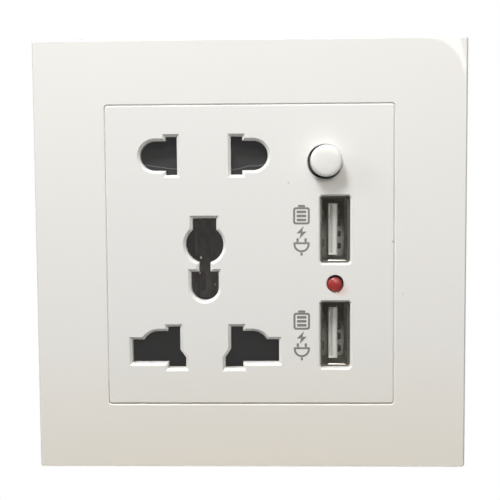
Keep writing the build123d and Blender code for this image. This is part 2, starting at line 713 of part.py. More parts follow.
# Rear housing, shallow behind the plug side and deep behind the ports

with BuildPart() as rear_housing:
    with BuildSketch(front(-CHAMBER_DEPTH)):
        RectangleRounded(HOUSING_W, HOUSING_H, HOUSING_CORNER)
    extrude(amount=CHAMBER_DEPTH + RIM)
    with BuildSketch(front(-POWER_DEPTH)):
        RectangleRounded(HOUSING_W, HOUSING_H, HOUSING_CORNER)
        with Locations((PLUG_RIGHT, 0)):
            Rectangle(HOUSING_W, HOUSING_H, align=(Align.MIN, Align.CENTER), mode=Mode.INTERSECT)
    extrude(amount=POWER_DEPTH - CHAMBER_DEPTH)
    chamfer(rear_housing.faces().sort_by(Axis.Y)[-1].edges(), HOUSING_EDGE)
    # Hollow of the plug side and of the port side
    with BuildSketch(front(FLOOR)):
        with Locations((PLUG_LEFT, 0)):
            Rectangle(PLUG_RIGHT - PLUG_LEFT, 2 * INNER_Z, align=(Align.MIN, Align.CENTER))
    extrude(amount=RIM - FLOOR, mode=Mode.SUBTRACT)
    with BuildSketch(front(POWER_FLOOR)):
        with Locations((POWER_LEFT, 0)):
            Rectangle(INNER_X - POWER_LEFT, 2 * INNER_Z, align=(Align.MIN, Align.CENTER))
    extrude(amount=RIM - POWER_FLOOR, mode=Mode.SUBTRACT)
    # Screw columns and board posts
    with BuildSketch(front(FLOOR)):
        with Locations((-COLUMN_X, -COLUMN_Z)):
            Rectangle(COLUMN, COLUMN)
    extrude(amount=RIM - FLOOR)
    with BuildSketch(front(POWER_FLOOR)):
        with Locations((COLUMN_X, COLUMN_Z)):
            Rectangle(COLUMN, COLUMN)
    extrude(amount=RIM - POWER_FLOOR)
    with BuildSketch(front(POWER_FLOOR)):
        with GridLocations(0, 2 * POST_Z, 1, 2):
            with Locations((POST_X, 0)):
                Rectangle(POST, POST)
    extrude(amount=BOARD_BACK - POWER_FLOOR)
    # Pegs through the board, with heads staked over it
    with BuildSketch(front(BOARD_BACK)):
        with GridLocations(0, 2 * POST_Z, 1, 2):
            with Locations((POST_X, 0)):
                Rectangle(PEG, PEG)
    extrude(amount=BOARD)
    with BuildSketch(front(BOARD_FRONT)):
        with GridLocations(0, 2 * POST_Z, 1, 2):
            with Locations((POST_X, 0)):
                Rectangle(PEG_HEAD, PEG_HEAD)
    extrude(amount=PEG_HEAD_T)
    with BuildSketch(front(HEAD_SEAT)):
        with Locations(*SCREWS):
            Circle(HOUSING_SCREW_R + HEAD_FIT)
    extrude(amount=RIM - HEAD_SEAT, mode=Mode.SUBTRACT)
    with BuildSketch(front(HEAD_SEAT)):
        with Locations(*SCREWS):
            Circle(HOUSING_HEAD_R + HEAD_FIT)
    extrude(amount=-POWER_DEPTH, mode=Mode.SUBTRACT)
    # Ribs between the terminals
    with BuildSketch(front(-CHAMBER_DEPTH)):
        for place in (-1.5, -0.5, 0.5, 1.5):
            with Locations((SOCKET_X + place * CONTACT_PITCH / 2, TERMINAL_Z)):
                Rectangle(RIB, TERMINAL_L + 2 * TERMINAL_RIB_REACH)
    extrude(amount=-TERMINAL_D - TERMINAL_RIB_SPARE)
    # Passages for the contact tails and for the links to the board
    with BuildSketch(front(FLOOR)):
        with Locations(*[(x, TERMINAL_Z) for x in CONTACT_X]):
            Rectangle(TAIL_W + 2 * PASSAGE_FIT, STRIP + 2 * PASSAGE_FIT)
    extrude(amount=-HOUSING_WALL, mode=Mode.SUBTRACT)
    with BuildSketch(front(FLOOR - PASSAGE_FIT)):
        with GridLocations(0, 2 * LINK_Z, 1, 2):
            with Locations((PARTITION_X, 0)):
                Rectangle(PARTITION + PASSAGE_FIT, LINK_W + 2 * PASSAGE_FIT)
    extrude(amount=STRIP + 2 * PASSAGE_FIT, mode=Mode.SUBTRACT)
    # Hooks that hold the module behind the carrier
    for side in (-1, 1):
        with BuildSketch(Plane.YZ):
            with BuildLine():
                root = side * HOUSING_H / 2
                Polyline(
                    (HOOK_PLAY, root - side * HOOK_ROOT),
                    (HOOK_PLAY, root + side * HOOK_REACH),
                    (HOOK_PLAY + HOOK_REACH, root + side * HOOK_REACH),
                    (HOOK_PLAY + HOOK_LENGTH, root),
                    (HOOK_PLAY + HOOK_LENGTH, root - side * HOOK_ROOT),
                    close=True,
                )
            make_face()
        extrude(amount=HOOK_W / 2, both=True)


# Contact strips, bent clips on a flat spine

def contact(middle_x, clips, spine_low, spine_high, link):
    """One contact strip: spine on the housing floor, pairs of spring leaves, tail and board link."""
    half = STRIP_W / 2
    with BuildPart() as strip:
        with BuildSketch(front(FLOOR)):
            with Locations((middle_x, spine_low)):
                Rectangle(STRIP_W, spine_high - spine_low, align=(Align.CENTER, Align.MIN))
        extrude(amount=STRIP)
        for clip_z, clip_length in clips:
            with BuildSketch(Plane.XY.offset(clip_z - clip_length / 2)):
                for side in (-1, 1):
                    with BuildLine() as leaf:
                        Polyline(
                            (middle_x + side * (half - STRIP / 2), -FLOOR),
                            (middle_x + side * (half - STRIP / 2), -FLOOR - CLIP_STRAIGHT),
                            (middle_x + side * CLIP_NIP, CLIP_NIP_HEIGHT),
                            (middle_x + side * (half - STRIP / 2), -RIM + CLIP_GAP),
                        )
                    trace(leaf.line, STRIP)
            extrude(amount=clip_length)
        with BuildSketch(front(FLOOR)):
            with Locations((middle_x, TERMINAL_Z)):
                Rectangle(TAIL_W, STRIP)
        extrude(amount=-HOUSING_WALL)
        if link:
            spine_end = spine_high if link > 0 else spine_low
            with BuildSketch(front(FLOOR)):
                with Locations((middle_x, link * LINK_Z)):
                    Rectangle(LINK_END - middle_x, LINK_W, align=(Align.MIN, Align.CENTER))
                link_edge = link * (LINK_Z + LINK_W / 2)
                with Locations((middle_x, (spine_end + link_edge) / 2)):
                    Rectangle(TAIL_W, abs(spine_end - link_edge))
            extrude(amount=STRIP)
            with BuildSketch(front(FLOOR)):
                with Locations((LINK_END, link * LINK_Z)):
                    Rectangle(STRIP, LINK_W, align=(Align.MAX, Align.CENTER))
            extrude(amount=BOARD_BACK - FLOOR)
    return strip


line_clips = ((UPPER_SLOT_Z, CLIP_LENGTH), (LOWER_SLOT_Z + SHOULDER_Z, CLIP_LENGTH))
line_low = LOWER_SLOT_Z + SHOULDER_Z - CLIP_LENGTH / 2
line_high = UPPER_SLOT_Z + CLIP_LENGTH / 2
neutral_contact = contact(CONTACT_X[0], line_clips, line_low, line_high, 1)
live_contact = contact(CONTACT_X[2], line_clips, line_low, line_high, -1)
earth_clips = (
    (EARTH_Z + EARTH_CLIP_RISE, EARTH_CLIP_LENGTH),
    (EARTH_Z - EARTH_FOOT_CLIP_DROP, EARTH_FOOT_CLIP_LENGTH),
)
earth_low = TERMINAL_Z - SPINE_END
earth_high = EARTH_Z + EARTH_CLIP_RISE + EARTH_CLIP_LENGTH / 2
earth_contact = contact(CONTACT_X[1], earth_clips, earth_low, earth_high, 0)


# Terminals behind the plug side

def terminal(middle_x):
    """Brass block with a wire bore from below and a threaded hole from behind."""
    with BuildPart() as block:
        with BuildSketch(front(TERMINAL_BACK)):
            with Locations((middle_x, TERMINAL_Z)):
                Rectangle(TERMINAL_W, TERMINAL_L)
        extrude(amount=TERMINAL_D)
        chamfer(block.edges().filter_by(Axis.Y), TERMINAL_EDGE)
        with BuildSketch(Plane.XY.offset(TERMINAL_Z - TERMINAL_L / 2)):
            with Locations((middle_x, -BORE_HEIGHT)):
                Circle(WIRE_R)
        extrude(amount=TERMINAL_L, mode=Mode.SUBTRACT)
        with BuildSketch(front(TERMINAL_BACK)):
            with Locations((middle_x, TERMINAL_Z)):
                Circle(TERMINAL_SCREW_R + SCREW_FIT)
        extrude(amount=BORE_HEIGHT - TERMINAL_BACK, mode=Mode.SUBTRACT)
    return block


neutral_terminal = terminal(CONTACT_X[0])
earth_terminal = terminal(CONTACT_X[1])
live_terminal = terminal(CONTACT_X[2])

with BuildPart() as terminal_screws:
    with BuildSketch(front(TERMINAL_BACK)):
        with Locations(*[(x, TERMINAL_Z) for x in CONTACT_X]):
            Circle(TERMINAL_HEAD_R)
    extrude(amount=-TERMINAL_HEAD)
    with BuildSketch(front(TERMINAL_BACK)):
        with Locations(*[(x, TERMINAL_Z) for x in CONTACT_X]):
            Circle(TERMINAL_SCREW_R)
    extrude(amount=TERMINAL_D - WIRE_DEPTH - WIRE_R - HEAD_FIT)
    with BuildSketch(front(TERMINAL_BACK - TERMINAL_HEAD)):
        with Locations(*[(x, TERMINAL_Z) for x in CONTACT_X]):
            Rectangle(2 * TERMINAL_HEAD_R + CUT_SPARE, DRIVER_SLOT_W, rotation=DRIVER_SLOT_TURN)
    extrude(amount=DRIVER_SLOT_DEPTH, mode=Mode.SUBTRACT)


# Power board

with BuildPart() as power_board:
    with BuildSketch(front(BOARD_BACK)):
        with Locations((SUPPLY_X, 0)):
            Rectangle(INNER_X - POWER_LEFT - 2 * BOARD_GAP, 2 * (INNER_Z - BOARD_GAP))
        with Locations((COLUMN_X, COLUMN_Z)):
            Rectangle(COLUMN + 2 * BOARD_GAP, COLUMN + 2 * BOARD_GAP, mode=Mode.SUBTRACT)
        with GridLocations(0, 2 * POST_Z, 1, 2):
            with Locations((POST_X, 0)):
                Rectangle(PEG + 2 * PEG_FIT, PEG + 2 * PEG_FIT, mode=Mode.SUBTRACT)
        for port_z in (UPPER_PORT_Z, LOWER_PORT_Z):
            with Locations((PORT_X, port_z)):
                with GridLocations(0, PORT_H - SHELL_SHEET, 1, 2):
                    leg_hole = SHELL_SHEET + 2 * SHELL_LEG_FIT
                    Rectangle(SHELL_LEG_W + 2 * SHELL_LEG_FIT, leg_hole, mode=Mode.SUBTRACT)
            for place in PIN_PLACES:
                with Locations((PIN_X + PIN_T / 2, port_z + place)):
                    Rectangle(PIN_T + 2 * PIN_FIT, PIN_W + 2 * PIN_FIT, mode=Mode.SUBTRACT)
        with Locations((LAMP_X, LAMP_Z)):
            with GridLocations(LEAD_PITCH, 0, 2, 1):
                Rectangle(LEAD + HEAD_FIT, LEAD + HEAD_FIT, mode=Mode.SUBTRACT)
    extrude(amount=BOARD)


# Screws that hold the rear housing to the panel

with BuildPart() as housing_screws:
    with BuildSketch(front(HEAD_SEAT)):
        with Locations(*SCREWS):
            Circle(HOUSING_HEAD_R)
    extrude(amount=-HOUSING_HEAD)
    with BuildSketch(front(HEAD_SEAT)):
        with Locations(*SCREWS):
            Circle(HOUSING_SCREW_R)
    extrude(amount=PANEL_BACK - HEAD_SEAT)
    with BuildSketch(front(HEAD_SEAT - HOUSING_HEAD)):
        with Locations(*SCREWS):
            Rectangle(CROSS_LENGTH, CROSS_W)
            Rectangle(CROSS_W, CROSS_LENGTH)
    extrude(amount=CROSS_DEPTH, mode=Mode.SUBTRACT)


# Ports, each a bent shell, a tongue and four contacts

def port_shell(middle_z):
    """Sheet metal shell with two spring fingers in each wide side and legs through the board."""
    wall_x = PORT_W / 2 - SHELL_SHEET / 2
    with BuildPart() as shell:
        with BuildSketch(front(BOARD_FRONT)):
            with Locations((PORT_X, middle_z)):
                RectangleRounded(PORT_W, PORT_H, SHELL_CORNER)
                Rectangle(PORT_W - 2 * SHELL_SHEET, PORT_H - 2 * SHELL_SHEET, mode=Mode.SUBTRACT)
        extrude(amount=PORT_LENGTH)
        finger_levels = (middle_z - FINGER_PITCH / 2, middle_z + FINGER_PITCH / 2)
        with BuildSketch(Plane.YZ.offset(PORT_X)):
            with Locations(*[(-PORT_MOUTH + FINGER_SLOT_START, level) for level in finger_levels]):
                Rectangle(FINGER_SLOT_LENGTH, FINGER_SLOT_W, align=(Align.MIN, Align.CENTER))
        extrude(amount=PORT_W, both=True, mode=Mode.SUBTRACT)
        for level in finger_levels:
            with BuildSketch(Plane.XY.offset(level - FINGER_W / 2)):
                for side in (-1, 1):
                    with BuildLine() as finger:
                        Polyline(
                            (PORT_X + side * wall_x, -PORT_MOUTH + FINGER_ROOT),
                            (PORT_X + side * (wall_x - FINGER_NIP), -PORT_MOUTH + FINGER_NIP_DEPTH),
                            (PORT_X + side * (wall_x - FINGER_TIP), -PORT_MOUTH + FINGER_TIP_DEPTH),
                        )
                    trace(finger.line, FINGER_T)
            extrude(amount=FINGER_W)
        with BuildSketch(front(BOARD_FRONT)):
            with Locations((PORT_X, middle_z)):
                with GridLocations(0, PORT_H - SHELL_SHEET, 1, 2):
                    Rectangle(SHELL_LEG_W, SHELL_SHEET)
        extrude(amount=-BOARD - SHELL_LEG_END)
    return shell


def port_tongue(middle_z):
    """Moulded block in the back of the shell with the tongue that carries the contacts."""
    room = SHELL_SHEET + TONGUE_FIT
    block_front = BOARD_FRONT + TONGUE_BLOCK
    with BuildPart() as tongue:
        with BuildSketch(front(BOARD_FRONT)):
            with Locations((PORT_X, middle_z)):
                Rectangle(PORT_W - 2 * room, PORT_H - 2 * room)
        extrude(amount=TONGUE_BLOCK)
        with BuildSketch(front(block_front)):
            with Locations((TONGUE_X, middle_z)):
                Rectangle(TONGUE_T, TONGUE_H)
        extrude(amount=PORT_MOUTH - TONGUE_RECESS - block_front)
        chamfer(tongue.faces().sort_by(Axis.Y)[0].edges(), TONGUE_EDGE)
        with BuildSketch(front(BOARD_FRONT)):
            for place in PIN_PLACES:
                with Locations((PIN_X, middle_z + place)):
                    Rectangle(PIN_T + PIN_PLAY, PIN_W + PIN_PLAY, align=(Align.MIN, Align.CENTER))
        extrude(amount=TONGUE_BLOCK, mode=Mode.SUBTRACT)
    return tongue


def port_contacts(middle_z):
    """Four contact springs along the tongue, each with a bent nose and a tail through the board."""
    tip = -PORT_MOUTH + TONGUE_RECESS + PIN_RECESS
    with BuildPart() as contacts:
        for place in PIN_PLACES:
            with BuildSketch(Plane.XY.offset(middle_z + place - PIN_W / 2)):
                with BuildLine():
                    Polyline(
                        (PIN_X, tip),
                        (PIN_X + PIN_T, tip),
                        (PIN_X + PIN_NOSE, tip + PIN_NOSE_START),
                        (PIN_X + PIN_NOSE, tip + PIN_NOSE_END),
                        (PIN_X + PIN_T, tip + PIN_NOSE_FOOT),
                        (PIN_X + PIN_T, -BOARD_BACK + TAIL_END),
                        (PIN_X, -BOARD_BACK + TAIL_END),
                        close=True,
                    )
                make_face()
            extrude(amount=PIN_W)
    return contacts


upper_port_shell = port_shell(UPPER_PORT_Z)
lower_port_shell = port_shell(LOWER_PORT_Z)
upper_port_tongue = port_tongue(UPPER_PORT_Z)
lower_port_tongue = port_tongue(LOWER_PORT_Z)
upper_port_contacts = port_contacts(UPPER_PORT_Z)
lower_port_contacts = port_contacts(LOWER_PORT_Z)


# Switch and button

with BuildPart() as switch_body:
    with BuildSketch(front(BOARD_FRONT)):
        with Locations((BUTTON_X, BUTTON_Z)):
            Rectangle(SWITCH, SWITCH)
    extrude(amount=SWITCH_HEIGHT)
    chamfer(switch_body.faces().sort_by(Axis.Y)[0].edges(), SWITCH_EDGE)
    with BuildSketch(front(SWITCH_WELL)):
        with Locations((BUTTON_X, BUTTON_Z)):
            Rectangle(PLUNGER + 2 * PLUNGER_FIT, PLUNGER + 2 * PLUNGER_FIT)
    extrude(amount=SWITCH_TOP - SWITCH_WELL, mode=Mode.SUBTRACT)

with BuildPart() as switch_plunger:
    with BuildSketch(front(PLUNGER_FOOT)):
        with Locations((BUTTON_X, BUTTON_Z)):
            Rectangle(PLUNGER, PLUNGER)
    extrude(amount=PLUNGER_TOP - PLUNGER_FOOT)

with BuildPart() as button_cap:
    with BuildSketch(front(BUTTON_FOOT)):
        with Locations((BUTTON_X, BUTTON_Z)):
            Circle(BUTTON_R)
    extrude(amount=BUTTON_TOP - BUTTON_FOOT)
    chamfer(button_cap.edges().group_by(Axis.Y)[0], BUTTON_EDGE)
    with BuildSketch(front(BUTTON_FOOT)):
        with Locations((BUTTON_X, BUTTON_Z)):
            Circle(BUTTON_R + BUTTON_FLANGE_REACH)
    extrude(amount=BUTTON_FLANGE)
    with BuildSketch(front(BUTTON_FOOT)):
        with Locations((BUTTON_X, BUTTON_Z)):
            Rectangle(PLUNGER, PLUNGER)
    extrude(amount=PLUNGER_TOP - BUTTON_FOOT, mode=Mode.SUBTRACT)


# Indicator lamp, a lens with a round end on two leads

with BuildPart() as indicator_lamp:
    with BuildSketch(Plane.XY.offset(LAMP_Z)):
        with BuildLine():
            sides = Polyline(
                (LAMP_X, -FACE - LAMP_PROUD),
                (LAMP_X, -LAMP_FOOT),
                (LAMP_X + LAMP_R + LAMP_FLANGE, -LAMP_FOOT),
                (LAMP_X + LAMP_R + LAMP_FLANGE, -LAMP_FOOT - LAMP_FLANGE_T),
                (LAMP_X + LAMP_R, -LAMP_FOOT - LAMP_FLANGE_T),
                (LAMP_X + LAMP_R, -FACE),
            )
            TangentArc(sides @ 0, sides @ 1, tangent=(1, 0))
        make_face()
    revolve(axis=Axis((LAMP_X, 0, LAMP_Z), (0, 1, 0)))

with BuildPart() as lamp_leads:
    with BuildSketch(front(BOARD_BACK - TAIL_END)):
        with Locations((LAMP_X, LAMP_Z)):
            with GridLocations(LEAD_PITCH, 0, 2, 1):
                Rectangle(LEAD, LEAD)
    extrude(amount=LAMP_FOOT - BOARD_BACK + TAIL_END)


# Parts of the power supply behind the board

with BuildPart() as transformer_core:
    with BuildSketch(Plane.XY.offset(CORE_Z - CORE_MID / 2)):
        with Locations((SUPPLY_X, -BOARD_BACK + CORE_YOKE + CORE_DEPTH / 2)):
            Rectangle(CORE_W, CORE_DEPTH)
            with GridLocations(CORE_MID + CORE_WINDOW, 0, 2, 1):
                Rectangle(CORE_WINDOW, CORE_DEPTH - 2 * CORE_YOKE, mode=Mode.SUBTRACT)
    extrude(amount=CORE_MID)

with BuildPart() as transformer_coil:
    with BuildSketch(front(BOARD_BACK - 2 * CORE_YOKE - COIL_GAP)):
        with Locations((SUPPLY_X, CORE_Z)):
            Rectangle(CORE_MID + 2 * (CORE_WINDOW - COIL_GAP), CORE_MID + 2 * COIL_WALL)
            Rectangle(CORE_MID + 2 * COIL_GAP, CORE_MID + 2 * COIL_GAP, mode=Mode.SUBTRACT)
    extrude(amount=-CORE_DEPTH + 2 * CORE_YOKE + 2 * COIL_GAP)
    with BuildSketch(front(BOARD_BACK)):
        with Locations((SUPPLY_X, CORE_Z)):
            with GridLocations(CORE_MID, CORE_MID + 2 * (COIL_WALL - COIL_PIN_INSET), 2, 2):
                Rectangle(COIL_PIN, COIL_PIN)
    extrude(amount=-2 * CORE_YOKE - COIL_GAP)

with BuildPart() as input_capacitor:
    with BuildSketch(front(BOARD_BACK)):
        with Locations(((POWER_LEFT + PIN_X) / 2, UPPER_PORT_Z)):
            Circle((PIN_X - POWER_LEFT) / 2 - CAPACITOR_GAP)
    extrude(amount=-INPUT_CAPACITOR)

with BuildPart() as output_capacitor:
    with BuildSketch(front(BOARD_BACK)):
        capacitor_x = INNER_X - OUTPUT_CAPACITOR_R - CAPACITOR_GAP
        with Locations((capacitor_x, UPPER_PORT_Z + OUTPUT_CAPACITOR_RISE)):
            Circle(OUTPUT_CAPACITOR_R)
    extrude(amount=-OUTPUT_CAPACITOR)

with BuildPart() as control_chip:
    with BuildSketch(front(BOARD_BACK)):
        with Locations((CHIP_X, CHIP_Z)):
            with GridLocations(0, CHIP_LEG_PITCH, 1, 4):
                Rectangle(CHIP_SPAN, CHIP_LEG_W)
    extrude(amount=-CHIP_LEG_T)
    with BuildSketch(front(BOARD_BACK - CHIP_STAND)):
        with Locations((CHIP_X, CHIP_Z)):
            Rectangle(CHIP_W, CHIP_H)
    extrude(amount=-CHIP_T)


# One file for each piece

pieces = {
    "face_frame": face_frame,
    "mounting_carrier": mounting_carrier,
    "socket_panel": socket_panel,
    "inner_cover": inner_cover,
    "upper_shutter": upper_shutter,
    "lower_shutter": lower_shutter,
    "upper_shutter_spring": upper_shutter_spring,
    "lower_shutter_spring": lower_shutter_spring,
    "rear_housing": rear_housing,
    "neutral_contact": neutral_contact,
    "earth_contact": earth_contact,
    "live_contact": live_contact,
    "neutral_terminal": neutral_terminal,
    "earth_terminal": earth_terminal,
    "live_terminal": live_terminal,
    "terminal_screws": terminal_screws,
    "power_board": power_board,
    "housing_screws": housing_screws,
    "upper_port_shell": upper_port_shell,
    "lower_port_shell": lower_port_shell,
    "upper_port_tongue": upper_port_tongue,
    "lower_port_tongue": lower_port_tongue,
    "upper_port_contacts": upper_port_contacts,
    "lower_port_contacts": lower_port_contacts,
    "switch_body": switch_body,
    "switch_plunger": switch_plunger,
    "switch_spring": switch_spring,
    "button_cap": button_cap,
    "indicator_lamp": indicator_lamp,
    "lamp_leads": lamp_leads,
    "transformer_core": transformer_core,
    "transformer_coil": transformer_coil,
    "input_capacitor": input_capacitor,
    "output_capacitor": output_capacitor,
    "control_chip": control_chip,
}

os.makedirs("parts", exist_ok=True)
for label, piece in pieces.items():
    piece.part.label = label
    export_step(piece.part, f"parts/{label}.step")
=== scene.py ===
"""Looks of a square wall socket with two charging ports, a push button and a red lamp.

The socket stands in its own frame: the wall is y = 0, the front faces -Y, +Z is up, metres throughout.
"""

import logging
from collections.abc import Callable
from dataclasses import dataclass
from enum import Enum
from math import cos, pi, radians, sin

import bmesh
import bpy
from mathutils import Matrix, Vector


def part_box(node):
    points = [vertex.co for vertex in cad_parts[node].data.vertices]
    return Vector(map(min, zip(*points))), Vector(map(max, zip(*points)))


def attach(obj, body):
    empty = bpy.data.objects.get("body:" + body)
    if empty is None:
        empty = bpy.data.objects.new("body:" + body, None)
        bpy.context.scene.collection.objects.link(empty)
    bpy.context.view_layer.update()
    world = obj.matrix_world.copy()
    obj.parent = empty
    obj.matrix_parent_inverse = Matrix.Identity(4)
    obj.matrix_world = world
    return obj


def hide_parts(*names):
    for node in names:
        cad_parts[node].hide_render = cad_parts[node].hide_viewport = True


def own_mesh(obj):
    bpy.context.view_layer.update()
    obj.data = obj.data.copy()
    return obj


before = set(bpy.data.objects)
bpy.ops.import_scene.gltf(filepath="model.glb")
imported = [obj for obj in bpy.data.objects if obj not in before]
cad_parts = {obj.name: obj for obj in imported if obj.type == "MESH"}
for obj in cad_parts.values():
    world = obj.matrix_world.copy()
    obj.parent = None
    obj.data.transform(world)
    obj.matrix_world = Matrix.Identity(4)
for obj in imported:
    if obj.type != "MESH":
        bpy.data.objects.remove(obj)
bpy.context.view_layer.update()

MM = 0.001

# Noises, as lumps for each metre and octaves
CLOUD = (70.0, 3.0)
SMEAR = (240.0, 5.0)
WAVE = (900.0, 1.0)
STREAK = (1.0, 4.0)
TARNISH = (420.0, 4.0)
SWAY = (260.0, 1.0)
NOISE_MEAN = 0.5

# Mesh work, distances in metres and angles in degrees
WELD = 1e-6
POLE = 1e-7
FLAT_ANGLE = 0.6
SHARP_ANGLE = 28.0
EDGE_STEPS = 3
AREA_WEIGHT = 100
TURN_STEPS = 72
TURN_CREASE = 40.0
CORNER_STEPS = 5

WHITE = (1.0, 1.0, 1.0)
UP = Vector((0, 0, 1))
INWARD = Vector((0, 1, 0))

Colour = tuple[float, float, float]
Place = tuple[float, float, float]
Point = tuple[float, float]
Socket = bpy.types.NodeSocket
Material = bpy.types.Material
Mesh = bpy.types.Mesh
Carving = Callable[[bmesh.types.BMesh], None]

log = logging.getLogger("wall_socket")


class Body(Enum):
    """Bodies of the socket that a piece can ride on."""

    SOCKET = "socket"
    BUTTON = "button"
    UPPER_SHUTTER = "upper_shutter"
    LOWER_SHUTTER = "lower_shutter"


class Level(Enum):
    """The upper and the lower one of two like parts."""

    UPPER = "upper"
    LOWER = "lower"

    def node(self, part: str) -> str:
        """Name this level's part."""
        return f"{self.value}_{part}"


class Effect(Enum):
    """Shared surface effects, each one shader node group."""

    MOULDED = "moulded_skin"
    DRAWN = "drawn_metal"
    SPECK_OR_PAINTED_LIGHT = "speck_or_painted_light"
    PAINTED_RIM_SHADE = "painted_lens_rim_shade"
    PAINTED_RIDGE_LINE = "painted_ridge_line"


# Node tree helpers


class Graph:
    """A node tree that is filled by short calls."""

    measures = ("DISTANCE", "DOT_PRODUCT", "LENGTH")

    def __init__(self, tree: bpy.types.NodeTree) -> None:
        """Take over the tree of a material, a world or a group and empty it."""
        self.tree = tree
        self.tree.nodes.clear()

    def add(self, kind: str, values: dict | None = None, **settings: object) -> bpy.types.Node:
        """Add a node.

        Args:
            kind: Node type without its ShaderNode prefix, or a NodeGroup type in full.
            values: Input sockets by name or index; a socket as value is linked, anything else is set.
            settings: Properties of the node.

        Returns:
            The new node.
        """
        name = kind if kind.startswith("NodeGroup") else "ShaderNode" + kind
        node = self.tree.nodes.new(name)
        for key, value in settings.items():
            setattr(node, key, value)
        for key, value in (values or {}).items():
            self.feed(node.inputs[key], value)
        return node

    def feed(self, socket: Socket, value: object) -> None:
        """Link or set one input.

        Args:
            socket: The input.
            value: An output socket, or a plain value; a colour gets its alpha here.
        """
        if isinstance(value, Socket):
            self.tree.links.new(value, socket)
        elif socket.type == "RGBA":
            socket.default_value = (*value, 1.0)
        else:
            socket.default_value = value

    def place(self, kind: str = "Object") -> Socket:
        """Add coordinates of a kind and return them."""
        return self.add("TexCoord").outputs[kind]

    def math(self, operation: str, *terms: object) -> Socket:
        """Add a maths node on one to three numbers or sockets and return its result."""
        return self.add("Math", dict(enumerate(terms)), operation=operation).outputs[0]

    def vector(self, operation: str, *terms: object) -> Socket:
        """Add a vector maths node on one or two vectors or sockets and return its result."""
        node = self.add("VectorMath", dict(enumerate(terms)), operation=operation)
        return node.outputs["Value" if operation in self.measures else "Vector"]

    def noise(self, place: Socket, scale: object, detail: float) -> Socket:
        """Add a noise of so many lumps for each metre and so many octaves and return its value."""
        return self.add("TexNoise", {"Vector": place, "Scale": scale, "Detail": detail}).outputs["Fac"]

    def swing(self, place: Socket, scale: object, detail: float) -> Socket:
        """Add a noise that swings about zero and return its value."""
        return self.math("SUBTRACT", self.noise(place, scale, detail), NOISE_MEAN)

    def ramp(self, value: Socket, start: float, end: float, **settings: object) -> Socket:
        """Map a value from a range to zero to one and return the result."""
        values = {"Value": value, "From Min": start, "From Max": end}
        return self.add("MapRange", values, **settings).outputs[0]

    def tint(self, colour: Socket, factor: Socket) -> Socket:
        """Multiply a colour by a grey factor and return the result."""
        return self.add("VectorMath", {0: colour, "Scale": factor}, operation="SCALE").outputs[0]

    def vary(self, colour: Socket, change: Socket, amount: Socket) -> Socket:
        """Lighten and darken a colour by an amount of a change about zero and return the result."""
        return self.tint(colour, self.math("MULTIPLY_ADD", change, amount, 1.0))


def new_material(name: str) -> tuple[Material, Graph]:
    """Start a material.

    Args:
        name: Its name.

    Returns:
        The material and its empty graph.
    """
    material = bpy.data.materials.new(name)
    material.use_nodes = True
    return material, Graph(material.node_tree)


def inputs_from(holder: object, *fields: str) -> dict[str, object]:
    """Name fields of a finish or a mark as its effect names its inputs."""
    return {field.title(): getattr(holder, field) for field in fields}


